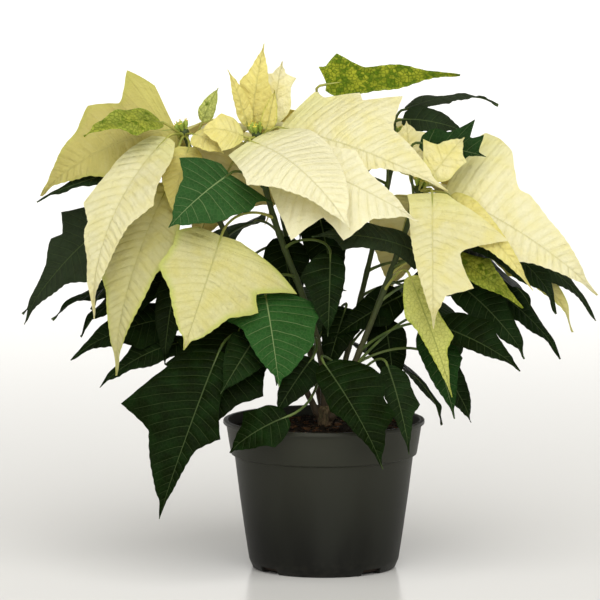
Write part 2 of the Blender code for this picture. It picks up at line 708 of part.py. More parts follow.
def build_pot():
    lip_z = POT_HEIGHT - LIP_DROP
    band_top = RIM_RADIUS - LIP_OUT
    profile = [
        (0.0, 0.0), (BASE_RADIUS, 0.0), (BODY_FOOT_RADIUS, CHAMFER_Z),
        (BODY_TOP_RADIUS, BAND_FOOT_Z - 1.6), (BAND_FOOT_RADIUS, BAND_FOOT_Z),
        (band_top, lip_z), (RIM_RADIUS, lip_z + 0.3), (RIM_RADIUS, POT_HEIGHT - 0.7),
        (RIM_RADIUS - 0.7, POT_HEIGHT), (band_top - WALL + 0.3, POT_HEIGHT),
        (band_top - WALL, lip_z - 0.4), (BAND_FOOT_RADIUS - WALL, BAND_FOOT_Z + 1.0),
        (BODY_TOP_RADIUS - WALL, BAND_FOOT_Z - 0.6), (BODY_FOOT_RADIUS - WALL, CHAMFER_Z + 0.4),
        (BASE_RADIUS - 1.2, FLOOR), (0.0, FLOOR),
    ]
    pot = new_object("pot", *turned(profile, POT_SIDES), "pot")
    cutters = []
    for i in range(NOTCHES):
        angle = 2.0 * math.pi * (i + 0.5) / NOTCHES + math.radians(-94.0)
        out = Vector((math.cos(angle), math.sin(angle), 0.0))
        across = Vector((-out.y, out.x, 0.0))
        corners = []
        for radius, half in ((BASE_RADIUS - 7.0, 0.30), (BASE_RADIUS + 8.0, 0.5)):
            for height, grow in ((-2.0, 1.0), (NOTCH_HEIGHT, 0.74)):
                for sign in (-1.0, 1.0):
                    corners.append(out * radius + across * sign * half * NOTCH_WIDTH * grow
                                   + Vector((0.0, 0.0, height)))
        cutter = new_object("notch_%d" % i, corners,
                            [(0, 1, 3, 2), (4, 6, 7, 5), (0, 2, 6, 4), (1, 5, 7, 3), (0, 4, 5, 1),
                             (2, 3, 7, 6)])
        cutter.hide_render = True
        cutter.display_type = "WIRE"
        cutters.append(cutter)
    group = bpy.data.collections.new("pot_notches")
    bpy.context.scene.collection.children.link(group)
    for cutter in cutters:
        bpy.context.scene.collection.objects.unlink(cutter)
        group.objects.link(cutter)
    cut = pot.modifiers.new("Notches", "BOOLEAN")
    cut.operation = "DIFFERENCE"
    cut.operand_type = "COLLECTION"
    cut.collection = group
    cut.solver = "EXACT"
    graph = bpy.context.evaluated_depsgraph_get()
    done = bpy.data.meshes.new_from_object(pot.evaluated_get(graph))
    pot.modifiers.clear()
    pot.data = done
    for cutter in cutters:
        bpy.data.objects.remove(cutter)
    bpy.data.collections.remove(group)
    pot.data.shade_smooth()
    pot.data.set_sharp_from_angle(angle=math.radians(30))
    return profile


def build_soil():
    """Potting soil that fills the pot round the trunk, heaped a little in the middle."""
    lip_z = POT_HEIGHT - LIP_DROP
    band_top = RIM_RADIUS - LIP_OUT
    slope = (band_top - BAND_FOOT_RADIUS) / (lip_z - BAND_FOOT_Z)
    edge = BAND_FOOT_RADIUS - WALL + slope * (SOIL_EDGE_TOP - BAND_FOOT_Z - 1.0) - 2.0 * GAP
    hole = TRUNK_RADIUS / math.cos(math.pi / 10) + GAP + 0.1
    profile = [
        (hole, FLOOR + GAP), (BASE_RADIUS - 1.2 - 2.0 * GAP, FLOOR + GAP),
        (BODY_FOOT_RADIUS - WALL - 2.0 * GAP, CHAMFER_Z + 1.0),
        (BODY_TOP_RADIUS - WALL - 2.0 * GAP, BAND_FOOT_Z + 0.1),
        (BAND_FOOT_RADIUS - WALL - 2.0 * GAP, BAND_FOOT_Z + 1.8),
        (edge, SOIL_EDGE_TOP), (62.0, SOIL_EDGE_TOP + 0.8), (42.0, SOIL_TOP - 1.6),
        (20.0, SOIL_TOP), (hole, SOIL_TOP),
    ]
    verts, faces = turned(profile, POT_SIDES, closed_ring=True)
    rough = []
    for v in verts:
        place = Vector(v)
        radius = math.hypot(place.x, place.y)
        if place.z > SOIL_EDGE_TOP + 0.5 and 15.0 < radius < 70.0:
            place.z += 1.6 * noise.noise(Vector((place.x, place.y, 0.0)) * 0.06)
        rough.append(place + Vector((TRUNK_X, 0.0, 0.0)) * max(0.0, 1.0 - (radius - hole) / 12.0))
    new_object("soil", rough, faces, "soil")


def build_trunk():
    profile = [(0.0, FLOOR + GAP), (TRUNK_RADIUS * 0.8, FLOOR + GAP), (TRUNK_RADIUS, 60.0)]
    profile += [(TRUNK_RADIUS, TRUNK_TOP - 1.0), (TRUNK_RADIUS * 0.86, TRUNK_TOP), (0.0, TRUNK_TOP)]
    flat_to_corner = 1.0 / math.cos(math.pi / 10)
    profile = [(r * flat_to_corner, z) for r, z in profile]
    verts, faces = turned(profile, 10, twist=0.5)
    verts = [Vector(v) + Vector((TRUNK_X, 0.0, 0.0)) for v in verts]
    new_object("trunk", verts, faces, "trunk")
    return verts, faces


def branch_solid(branch):
    points = branch.ring_points(9)
    radii = [branch.girth * (1.0 - 0.035 * i) for i in range(9)]
    return tube(points, radii, 6, branch.out)


def head_core(branch):
    """The short thick end of a branch that carries the bracts, and the pad of the buds on it."""
    low = branch.head + branch.lean * GAP
    points = [low, low + branch.lean * 3.0, low + branch.lean * 8.0]
    return tube(points, [3.0, 4.6, 4.2], 8, branch.lean)


def bud_solids(branch, rng):
    """A pad with small round flower buds on it."""
    low = branch.head + branch.lean * (8.0 + 2.0 * GAP)
    pad = tube([low, low + branch.lean * 1.6, low + branch.lean * 2.8], [3.4, 3.6, 2.2], 8, branch.lean)
    side = branch.lean.orthogonal().normalized()
    across = branch.lean.cross(side)
    buds = []
    for i in range(BUDS):
        spin = math.radians(i * 360.0 / (BUDS - 1) + rng.uniform(-8, 8))
        out = (side * math.cos(spin) + across * math.sin(spin)) * (0.0 if i == BUDS - 1 else 3.5)
        lean = (branch.lean + out * 0.10).normalized()
        foot = low + branch.lean * 1.0 + out
        tall = rng.uniform(4.8, 6.2)
        steps = ((0.0, 0.8), (0.35, 1.7), (0.80, 1.4), (1.0, 0.5))
        buds.append(tube([foot + lean * tall * s for s, _ in steps], [r for _, r in steps], 5, lean))
    return pad, buds


def main():
    for old in list(bpy.data.objects):
        bpy.data.objects.remove(old)
    rng = random.Random(41)
    crowd = Crowd()
    branches = {key: Branch(key) for key in HEADS}
    profile = build_pot()
    build_soil()
    trunk_verts, trunk_faces = build_trunk()

    outer = [p for p in profile[1:10]] + [(0.0, POT_HEIGHT - 3.0)]
    crowd.add("pot", "pot", *turned([(0.0, 0.0)] + outer, POT_SIDES))
    crowd.add("trunk", "trunk", [Vector(v) for v in trunk_verts], trunk_faces)
    for key, branch in branches.items():
        solid = branch_solid(branch)
        crowd.add("branch_" + key, "foliage_" + key, *solid, inner=None)
        crowd.add("core_" + key, "bracts_" + key, *head_core(branch), inner=None)
        pad, _ = bud_solids(branch, random.Random(7))
        crowd.add("buds_" + key, "buds_" + key, *pad)

    blades = {"foliage_" + key: [] for key in HEADS}
    blades.update({"bracts_" + key: [] for key in HEADS})
    queue = [("bracts_" + row[1], make_blade(row, branches), True) for row in BRACTS]
    queue += [("foliage_" + row[1], make_blade(row, branches), True) for row in MOTTLED + LEAVES]
    queue += [("bracts_" + row[1], make_blade(row, branches), True) for row in SHADED]
    for key, count in BACK_BRACTS.items():
        for i in range(count):
            queue.append(("bracts_" + key, back_blade("bract", key, i, branches, rng), False))
    for key, count in BACK_LEAVES.items():
        for i in range(count):
            queue.append(("foliage_" + key, back_blade("leaf", key, i, branches, rng), False))
    for group, blade, front in queue:
        struck = settle_blade(blade, group, crowd, front)
        if struck:
            print("left out", blade.name, struck)
        else:
            blades[group].append(blade)

    for key, branch in branches.items():
        for kind in ("foliage", "bracts"):
            name = kind + "_" + key
            core = branch_solid(branch) if kind == "foliage" else head_core(branch)
            target = new_object(name, *core, kind)
            parts = [new_object(blade.name, *blade.solid(THICK)) for blade in blades[name]]
            fuse(target, parts)
        pad, buds = bud_solids(branch, random.Random(7 + ord(key)))
        target = new_object("buds_" + key, *pad, "buds")
        fuse(target, [new_object("bud_%s_%d" % (key, i), *bud) for i, bud in enumerate(buds)])


main()
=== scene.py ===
"""Looks of a cream poinsettia in a tapered plastic nursery pot.

Sizes are in millimetres, and MM turns them into metres. X runs across the front view, Y runs
away from the viewer and Z is up, with the origin under the middle of the pot.
"""
import itertools
import math
import random

import bpy
import numpy as np
from mathutils import Matrix, Vector, noise
from mathutils.bvhtree import BVHTree


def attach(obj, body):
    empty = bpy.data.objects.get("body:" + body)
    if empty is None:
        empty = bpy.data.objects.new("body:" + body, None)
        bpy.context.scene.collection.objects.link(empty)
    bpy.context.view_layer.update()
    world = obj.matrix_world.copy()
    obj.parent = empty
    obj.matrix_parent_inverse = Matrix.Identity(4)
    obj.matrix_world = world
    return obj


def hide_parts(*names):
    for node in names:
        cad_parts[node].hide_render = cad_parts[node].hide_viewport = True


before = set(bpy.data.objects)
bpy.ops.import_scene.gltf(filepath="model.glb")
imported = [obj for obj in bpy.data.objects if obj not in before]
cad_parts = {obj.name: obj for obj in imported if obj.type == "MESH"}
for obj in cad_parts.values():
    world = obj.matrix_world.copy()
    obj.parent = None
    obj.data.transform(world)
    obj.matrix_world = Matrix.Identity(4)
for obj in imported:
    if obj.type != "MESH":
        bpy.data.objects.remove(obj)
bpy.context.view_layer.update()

MM = 0.001
GAP = 0.3

# Pot
POT_HEIGHT = 122.0
RIM_RADIUS = 82.5
LIP_DROP = 3.4
LIP_OUT = 2.3
BAND_FOOT_Z = 94.0
BAND_FOOT_RADIUS = 76.2
BODY_TOP_RADIUS = 73.2
BODY_FOOT_RADIUS = 61.3
CHAMFER_Z = 7.0
BASE_RADIUS = 58.5
WALL = 1.6
FLOOR = 2.0
POT_SIDES = 36
FINE_POT_SIDES = 144
NOTCHES = 4
NOTCH_WIDTH = 28.0
NOTCH_HEIGHT = 5.0
NOTCH_TURN = -94.0
LIP_Z = POT_HEIGHT - LIP_DROP
BAND_TOP_RADIUS = RIM_RADIUS - LIP_OUT

# Soil and trunk
SOIL_TOP = 117.0
SOIL_EDGE_TOP = 113.0
TRUNK_RADIUS = 6.0
TRUNK_TOP = 133.0
TRUNK_X = 1.0
SOIL_RINGS = 46
CRUMBS = 620

# The front view is taken from a little above and from far away
VIEW_RISE = math.radians(7.0)
VIEW_DROP = math.tan(VIEW_RISE)
VIEW_DISTANCE = 4500.0
VIEW_MIDDLE = 220.0
VIEW_SHIFT = -19.6
VIEW_WIDTH = 490.2

# Blades as solids: their thickness, the room each needs, how veins and lobes run, and the stalk
THICK = 0.8
CLEAR = 1.1
LEAST_HEIGHT = 6.0
VEIN_ANGLE_TIP = 38.0
LOBE_SPREAD = 0.17
LOBES_MERGE = 0.12
HALVINGS = 24
SHORT_STALK = 25.0
OWN_STALK_FROM = 0.7

# Blades as they are seen: thickness, how far apart the side veins are, and the size of a face
SHEET = 0.5
VEIN_SPACING = 7.4
FRONT_CELL = 1.55
BACK_CELL = 2.2

# How many faces go around each round part
STALK_SIDES, BRANCH_SIDES, TRUNK_SIDES, SOIL_SIDES, CUP_SIDES, STAMEN_SIDES = 10, 16, 36, 150, 14, 6
PLANT_SEED, SOIL_SEED, BUD_SEED = 41, 19, 7

# The middle of a head: how far above the branch's end the bracts and the buds leave it
BRACT_RISE = 4.0
BUD_RISE = 8.0 + 2.0 * GAP
BUDS = 6

# Turned shapes, as radius and height: the solids of pot and trunk, then the finer pot
POT_PROFILE = [
    (BASE_RADIUS, 0.0), (BODY_FOOT_RADIUS, CHAMFER_Z),
    (BODY_TOP_RADIUS, BAND_FOOT_Z - 1.6), (BAND_FOOT_RADIUS, BAND_FOOT_Z),
    (BAND_TOP_RADIUS, LIP_Z), (RIM_RADIUS, LIP_Z + 0.3), (RIM_RADIUS, POT_HEIGHT - 0.7),
    (RIM_RADIUS - 0.7, POT_HEIGHT), (BAND_TOP_RADIUS - WALL + 0.3, POT_HEIGHT),
]
TRUNK_PROFILE = [
    (0.0, FLOOR + GAP), (TRUNK_RADIUS * 0.8, FLOOR + GAP), (TRUNK_RADIUS, 60.0),
    (TRUNK_RADIUS, TRUNK_TOP - 1.0), (TRUNK_RADIUS * 0.86, TRUNK_TOP), (0.0, TRUNK_TOP),
]
FINE_POT_PROFILE = [
    (BASE_RADIUS - 0.8, 0.0), (BASE_RADIUS + 0.1, 0.7), (BODY_FOOT_RADIUS - 0.4, CHAMFER_Z - 1.2),
    (BODY_FOOT_RADIUS + 0.05, CHAMFER_Z), (BODY_FOOT_RADIUS + 0.5, CHAMFER_Z + 2.4),
    (BODY_FOOT_RADIUS + 4.2, 34.0), (BODY_FOOT_RADIUS + 8.1, 62.0),
    (BODY_TOP_RADIUS - 0.15, BAND_FOOT_Z - 2.4), (BODY_TOP_RADIUS + 0.1, BAND_FOOT_Z - 1.5),
    (BAND_FOOT_RADIUS - 0.9, BAND_FOOT_Z - 0.35), (BAND_FOOT_RADIUS - 0.2, BAND_FOOT_Z),
    (BAND_FOOT_RADIUS + 0.05, BAND_FOOT_Z + 0.8), (BAND_FOOT_RADIUS + 1.9, BAND_FOOT_Z + 11.5),
    (BAND_TOP_RADIUS - 0.15, LIP_Z - 0.6), (BAND_TOP_RADIUS + 0.2, LIP_Z - 0.1),
    (RIM_RADIUS - 0.35, LIP_Z + 0.15), (RIM_RADIUS, LIP_Z + 0.6), (RIM_RADIUS, POT_HEIGHT - 0.9),
    (RIM_RADIUS - 0.3, POT_HEIGHT - 0.25), (RIM_RADIUS - 1.0, POT_HEIGHT),
    (BAND_TOP_RADIUS - WALL + 0.6, POT_HEIGHT), (BAND_TOP_RADIUS - WALL, POT_HEIGHT - 0.5),
    (BAND_TOP_RADIUS - WALL, LIP_Z - 0.4), (BAND_FOOT_RADIUS - WALL, BAND_FOOT_Z + 1.0),
    (BODY_TOP_RADIUS - WALL, BAND_FOOT_Z - 0.6), (BODY_FOOT_RADIUS - WALL, CHAMFER_Z + 0.4),
    (BASE_RADIUS - 1.2, FLOOR),
]

# Flower parts, as the place along their length and the radius there
CUP_PROFILE = [(-0.55, 0.0), (-0.5, 0.9), (-0.2, 1.0), (0.1, 1.35), (0.35, 1.75), (0.6, 1.72),
               (0.8, 1.45), (0.92, 1.15), (1.0, 0.95), (0.97, 0.70), (0.86, 0.55), (0.84, 0.0)]
STAMEN_PROFILE = [(0.0, 0.0), (0.02, 0.16), (0.5, 0.14), (0.9, 0.14), (1.0, 0.30), (1.15, 0.22),
                  (1.16, 0.0)]

# Triangles between two rings of six points of a blade's solid, and those that close its ends
RING_FACES = [(0, 6, 7), (0, 7, 1), (1, 7, 2), (7, 8, 2), (2, 8, 9), (2, 9, 3),
              (3, 9, 10), (3, 10, 4), (4, 10, 5), (10, 11, 5), (5, 11, 6), (5, 6, 0)]
FOOT_FACES = [(0, 1, 4), (0, 4, 5), (1, 2, 3), (1, 3, 4)]
TIP_FACES = [(1, 0, 4), (4, 0, 5), (2, 1, 3), (3, 1, 4)]

# Flower heads: where each sits in the front view (across, up, depth), and its lean
HEADS = {
    "c": ((-54.0, 350.0, -8.0), (-0.10, -0.15, 1.0)),
    "r": ((76.0, 306.0, -22.0), (0.30, -0.20, 1.0)),
    "l": ((-112.0, 352.0, 18.0), (-0.35, 0.05, 1.0)),
    "b": ((60.0, 348.0, 78.0), (0.25, 0.35, 1.0)),
    "k": ((-42.0, 342.0, 100.0), (-0.15, 0.45, 1.0)),
}

# Branches: the trunk's side they leave by, in degrees, the height there, and their girth
BRANCHES = {
    "c": (None, TRUNK_TOP, 2.9),
    "r": (-36.0, 124.0, 2.7),
    "l": (180.0, 126.0, 2.7),
    "b": (36.0, 127.0, 2.5),
    "k": (108.0, 124.0, 2.5),
}

# Bracts and leaves that face the front. Each has its carrier, its place along the branch (None at
# the head), its foot and its tip (across, up, depth), the way its upper face looks, half widths
# left and right, bow, the spread of its lowest veins, fold, and its lobes left and right as
# (forward, sideways) from the foot.
BRACTS = [
    ("c_front", "c", (-60, 351, -22), (22, 280, -98), (0.25, -0.80, 0.55), 44, 29, 15, 100, -6,
     [(38, 44)], [(-8, 21), (42, 39)]),
    ("l_long", "l", (-128, 353, -8), (-193, 204, -74), (-0.45, -0.80, 0.40), 27, 27, 26, 70, 8,
     [(70, 33)], [(80, 32), (102, 20)]),
    ("r_large", "r", (97, 308, -20), (225, 224, -40), (0.10, -0.90, 0.42), 31, 24, 22, 100, 0,
     [(-11, 74), (6, 70), (24, 62), (58, 34)], [(70, 27)]),
    ("r_front", "r", (88, 308, -44), (89, 197, -96), (0.15, -0.93, 0.30), 27, 19, 6, 84, 6,
     [(42, 61), (84, 33)], [(4, 21)]),
    ("l_far", "l", (-121, 361, 14), (-234, 306, 10), (-0.12, -0.86, 0.50), 24, 38, 24, 98, -4,
     [(66, 27)], [(-1, 80), (56, 45)]),
    ("c_wide", "c", (-36, 362, -2), (101, 311, -58), (0.15, -0.74, 0.66), 42, 15, 12, 82, -6,
     [(8, 46), (42, 57), (77, 69)], [(80, 21)]),
    ("c_under", "c", (-38, 340, -24), (77, 293, -76), (0.10, -0.88, 0.45), 24, 42, 8, 84, 5,
     [(60, 28)], [(56, 66), (94, 46)]),
    ("l_low", "l", (-126, 316, -8), (-174, 157, -62), (-0.35, -0.85, 0.38), 28, 28, 18, 72, 8,
     [(60, 32)], [(40, 38), (84, 31)]),
    ("c_tall", "c", (-59, 362, 2), (-49, 430, 2), (-0.20, -0.85, 0.20), 14, 16, 5, 64, 14,
     [(36, 14)], [(30, 16)]),
    ("c_spike", "c", (-62, 362, -2), (-78, 409, -6), (0.20, -0.90, 0.10), 8, 9, 4, 60, 20, [], []),
    ("c_round", "c", (-42, 364, 8), (-34, 416, 18), (0.10, -0.85, 0.35), 15, 15, 4, 68, 6,
     [(38, 14)], [(40, 14)]),
    ("c_small", "c", (-47, 360, -14), (-40, 392, -22), (0.10, -0.85, 0.30), 8, 8, 3, 60, 15, [], []),
    ("c_left", "c", (-66, 354, -12), (-101, 360, -30), (-0.10, -0.76, 0.62), 17, 15, 5, 74, 8,
     [(18, 20)], [(20, 16)]),
    ("r_narrow", "r", (102, 306, -34), (171, 228, -66), (0.40, -0.72, 0.50), 13, 15, 14, 66, 10,
     [], [(50, 17)]),
    ("r_up", "r", (86, 319, -30), (114, 354, -38), (-0.10, -0.92, 0.30), 16, 15, 3, 76, 6,
     [(22, 25)], [(28, 16)]),
    ("r_back", "r", (70, 322, -8), (67, 367, 4), (0.05, -0.95, 0.25), 16, 17, 3, 74, 4,
     [(34, 17)], [(34, 17)]),
    ("r_yellow", "r", (81, 318, -44), (107, 333, -58), (0.0, -0.85, 0.50), 10, 10, 4, 66, 8, [], []),
    ("r_side", "r", (112, 284, 6), (209, 195, 4), (0.30, -0.62, 0.72), 19, 19, 14, 72, 6,
     [(52, 24)], [(56, 24)]),
    ("l_right", "l", (-106, 356, -6), (-82, 341, -32), (0.05, -0.78, 0.58), 13, 13, 4, 76, 6, [], []),
    ("m2", "l", (-133, 366, -4), (-196, 356, -40), (-0.15, -0.62, 0.75), 17, 15, 7, 80, 12,
     [(34, 21)], []),
]

LEAVES = [
    ("g1", "c", 0.84, (-77, 324, -32), (-127, 280, -84), (0.05, -0.85, 0.50), 34, 24, 6, 100, 4,
     [(-10, 43), (20, 37)], [(22, 37)]),
    ("g9", "l", 0.34, (-86, 178, -66), (-136, 39, -110), (-0.10, -0.93, 0.30), 17, 41, 10, 76, 4,
     [(70, 27)], [(67, 60)]),
    ("g11", "c", 0.50, (-48, 224, -46), (-37, 149, -98), (0.05, -0.90, 0.40), 38, 24, 6, 92, -4,
     [(16, 44), (46, 34)], [(15, 37)]),
    ("g12", "r", 0.26, (0, 168, -64), (49, 81, -112), (0.20, -0.92, 0.30), 30, 16, 8, 84, 5,
     [(38, 36), (66, 30)], [(44, 18)]),
    ("g14", "c", 0.06, (-30, 124, -84), (-79, 94, -82), (-0.20, -0.82, 0.52), 17, 17, 6, 84, 4,
     [(20, 21)], [(30, 22)]),
    ("g20", "r", 0.42, (90, 200, -34), (161, 162, -58), (0.20, -0.78, 0.60), 20, 14, 8, 84, 5,
     [(40, 25)], []),
    ("g21", "r", 0.34, (84, 200, -30), (107, 122, -58), (0.10, -0.92, 0.30), 17, 15, 6, 78, 5,
     [(36, 19)], []),
    ("g31", "k", 0.52, (-34, 272, 22), (-24, 206, 6), (0.05, -0.94, 0.25), 17, 18, 5, 84, 4,
     [(20, 21)], [(26, 21)]),
    ("g32", "b", 0.46, (64, 224, 14), (8, 190, -6), (-0.10, -0.80, 0.55), 15, 16, 5, 82, 4,
     [(26, 18)], []),
    ("g33", "b", 0.36, (50, 203, 14), (58, 144, 4), (0.05, -0.92, 0.35), 16, 17, 5, 82, 4,
     [], [(22, 19)]),
    ("g34", "k", 0.70, (-4, 290, 26), (10, 222, 6), (0.10, -0.92, 0.30), 18, 19, 5, 82, 4,
     [], []),
    ("g35", "k", 0.34, (18, 214, 14), (2, 158, 0), (-0.10, -0.92, 0.35), 15, 15, 5, 82, 4,
     [(18, 17)], []),
    ("g13", "r", 0.20, (52, 166, -48), (70, 93, -86), (0.20, -0.90, 0.30), 14, 12, 6, 76, 6,
     [(40, 17)], []),
    ("g19", "r", 0.62, (106, 236, -12), (166, 172, -24), (0.25, -0.78, 0.60), 21, 18, 8, 82, 4,
     [(30, 27)], []),
    ("g18", "r", 0.80, (108, 288, 2), (225, 204, 14), (0.25, -0.60, 0.78), 20, 20, 14, 76, 5,
     [(60, 24)], [(50, 24)]),
    ("g16", "r", 0.74, (76, 259, -28), (-10, 274, -60), (-0.10, -0.66, 0.76), 16, 20, 8, 80, 5,
     [(8, 25), (72, 20)], []),
    ("g17", "c", 0.62, (5, 258, -34), (3, 190, -60), (0.05, -0.95, 0.20), 13, 20, 5, 82, 4,
     [], [(22, 24)]),
    ("g15", "c", 0.24, (-10, 172, -44), (-40, 126, -66), (-0.10, -0.92, 0.25), 16, 15, 5, 80, 5,
     [], [(26, 19)]),
    ("g10", "c", 0.34, (-56, 190, -44), (-84, 144, -76), (-0.10, -0.90, 0.35), 20, 18, 5, 82, 5,
     [(18, 24)], []),
    ("g6", "l", 0.44, (-112, 206, -4), (-208, 171, -10), (-0.20, -0.62, 0.78), 22, 22, 12, 82, 6,
     [(44, 29)], [(40, 27)]),
    ("g7", "l", 0.38, (-112, 186, -26), (-185, 149, -36), (-0.20, -0.60, 0.80), 16, 16, 8, 78, 6,
     [], [(36, 19)]),
    ("g8", "l", 0.55, (-120, 242, -22), (-131, 167, -48), (-0.20, -0.92, 0.25), 15, 15, 6, 76, 6,
     [(34, 19)], []),
    ("g2", "l", 0.78, (-160, 294, 8), (-248, 200, 16), (-0.35, -0.75, 0.55), 24, 20, 14, 84, 4,
     [(60, 31)], [(42, 46), (62, 27)]),
    ("g4", "l", 0.64, (-158, 256, 34), (-248, 210, 44), (-0.20, -0.25, 0.95), 20, 20, 10, 82, 6,
     [(40, 25)], [(36, 25)]),
    ("g5", "l", 0.50, (-138, 232, 60), (-224, 206, 84), (-0.20, -0.30, 0.92), 18, 18, 10, 80, 6,
     [], [(40, 23)]),
    ("g30", "l", 0.88, (-148, 331, -6), (-236, 303, -14), (-0.20, -0.55, 0.80), 10, 10, 3, 78, 4,
     [(22, 13)], []),
    ("g22", "r", 0.36, (92, 170, 0), (121, 119, 6), (0.25, -0.80, 0.55), 14, 14, 5, 78, 5, [], []),
    ("g23", "b", 0.62, (118, 240, 44), (196, 172, 56), (0.25, -0.65, 0.72), 17, 17, 10, 78, 5,
     [(40, 21)], [(36, 20)]),
    ("g27", "r", 0.95, (78, 349, -22), (132, 331, -32), (0.05, -0.88, 0.45), 14, 9, 4, 84, 4,
     [(40, 28), (50, 17)], [(36, 10)]),
    ("g26", "b", 0.86, (64, 368, 48), (116, 358, 40), (0.10, -0.72, 0.68), 15, 13, 5, 80, 6, [], []),
    ("g25", "b", 0.96, (66, 377, 66), (143, 384, 78), (0.05, -0.12, 0.98), 12, 12, 6, 80, 4,
     [(30, 17)], [(34, 17)]),
]

# Low bracts and half-turned leaves, cream or mottled, that leave the branch below its head
MOTTLED = [
    ("c_three", "c", 0.74, (-84, 273, -52), (-115, 179, -94), (-0.10, -0.90, 0.35), 38, 34, 6,
     98, -5, [(20, 73), (50, 48)], [(8, 36), (38, 41)]),
    ("m24", "b", 0.93, (2, 397, 34), (111, 405, 46), (-0.05, -0.78, 0.62), 13, 15, 4, 104, 6,
     [(-4, 18), (12, 30)], [(44, 13)]),
    ("m28", "l", 0.95, (-99, 366, 18), (-86, 394, 20), (-0.20, -0.88, 0.20), 8, 8, 2, 72, 10, [], []),
    ("m4", "r", 0.66, (70, 240, -46), (105, 140, -82), (0.15, -0.93, 0.25), 13, 14, 7, 68, 8,
     [(60, 16)], [(34, 17)]),
    ("m8", "r", 0.72, (100, 256, -30), (163, 214, -44), (0.20, -0.75, 0.62), 13, 14, 6, 76, 7,
     [(30, 17)], []),
]

# Bracts that hang in the shade behind the others, placed after them
SHADED = [
    ("l_shade", "l", (-110, 346, 2), (-122, 286, -22), (-0.20, -0.90, 0.20), 16, 19, 8, 74, 6,
     [], [(26, 23)]),
    ("r_tan", "r", (94, 302, 4), (178, 262, 58), (0.30, 0.00, 0.95), 20, 20, 12, 74, 4,
     [(50, 27)], []),
]

# The sides that the front view hides: how many bracts and leaves, and where their turn starts
BACK_BRACTS = {"c": 3, "r": 3, "l": 3, "b": 9, "k": 9}
BACK_LEAVES = {"c": 3, "r": 5, "l": 5, "b": 6, "k": 7}
BACK_TURNS = {"c": 95.0, "r": 48.0, "l": 128.0, "b": 200.0, "k": 265.0}
BACK_STEP = 34.0
GOLDEN_TURN = 137.5

# How green each bract still is, how yellow, how dim by painted shade. 1 is full, and yellow goes up to 2
# Past 1, yellow darkens into a deeper yellow: real on some bracts, painted shade on those that hang in
# shade
BRACT_TINTS = {
    "c_three": (0.15, 0.55, 0.52), "m2": (0.60, 0.60, 0.10), "m24": (0.80, 1.10, 0.45),
    "m28": (0.42, 0.40, 0.00), "m4": (0.34, 0.95, 0.30), "m8": (0.60, 0.90, 0.20),
    "c_tall": (0.04, 1.15, 0.00), "c_spike": (0.06, 1.20, 0.00), "c_round": (0.05, 0.40, 0.00),
    "c_small": (0.14, 1.20, 0.00), "c_left": (0.04, 0.80, 0.10), "c_front": (0.00, 0.00, 0.00),
    "c_wide": (0.00, 0.34, 0.08), "c_under": (0.03, 0.05, 0.00), "r_large": (0.02, 0.28, 0.10),
    "r_front": (0.03, 0.45, 0.33), "r_up": (0.06, 0.60, 0.10), "r_yellow": (0.16, 1.30, 0.00),
    "r_back": (0.05, 0.50, 0.20), "r_tan": (0.16, 1.70, 0.30), "r_narrow": (0.06, 0.85, 0.15),
    "r_side": (0.14, 0.75, 0.35), "l_shade": (0.05, 1.50, 0.20), "l_right": (0.05, 1.00, 0.20),
    "l_low": (0.12, 0.50, 0.86), "l_long": (0.02, 0.30, 0.30), "l_far": (0.07, 1.70, 0.68),
}
# How light a green each leaf is, partly its own and partly painted light, and how much painted sheen it
# has
LEAF_TINTS = {
    "g1": (0.72, 0.20), "g11": (0.60, 0.00), "g27": (0.25, 0.10), "g16": (0.06, 0.60),
    "g9": (0.04, 0.00), "g12": (0.03, 0.00), "g14": (0.05, 0.00), "g26": (0.06, 0.40),
    "g25": (0.04, 0.80), "g21": (0.25, 0.00), "g2": (0.04, 0.60), "g30": (0.06, 0.20),
    "g18": (0.04, 0.35), "g20": (0.03, 0.05), "g31": (0.00, 0.00), "g32": (0.00, 0.00),
    "g33": (0.00, 0.00), "g34": (0.00, 0.00), "g35": (0.00, 0.00),
}


# How a branch runs and how a blade grows from it

def seen(across, up, depth):
    """A place in the front view, and how deep it lies, as a point in space."""
    nearer = 1.0 + depth / VIEW_DISTANCE
    return Vector((across * nearer, depth,
                   VIEW_MIDDLE + (up - VIEW_MIDDLE) * nearer - VIEW_DROP * depth))


def level(angle):
    """The level direction at an angle from the right of the front view."""
    return Vector((math.cos(angle), math.sin(angle), 0.0))


def quarter_on(way):
    """The level direction a quarter turn on from another."""
    return Vector((-way.y, way.x, 0.0))


def bezier(p0, p1, p2, p3, t):
    s = 1.0 - t
    return p0 * s ** 3 + p1 * 3 * s * s * t + p2 * 3 * s * t * t + p3 * t ** 3


class Branch:
    """A branch's centre line from the trunk to its head."""

    def __init__(self, key):
        side, height, self.girth = BRANCHES[key]
        place, lean = HEADS[key]
        self.key = key
        self.head = seen(*place)
        self.lean = Vector(lean).normalized()
        if side is None:
            self.foot = Vector((TRUNK_X, 0.0, height + GAP))
            self.out = Vector((0.0, 0.0, 1.0))
        else:
            self.out = level(math.radians(side))
            self.foot = Vector((TRUNK_X, 0.0, height)) + self.out * (TRUNK_RADIUS + GAP)
        reach = (self.head - self.foot).length
        self.p1 = self.foot + self.out * (60.0 if side is None else 10.0) \
            + Vector((0.0, 0.0, 0.10 * reach))
        self.p2 = self.head - self.lean * reach * 0.42

    def at(self, t):
        return bezier(self.foot, self.p1, self.p2, self.head, t)


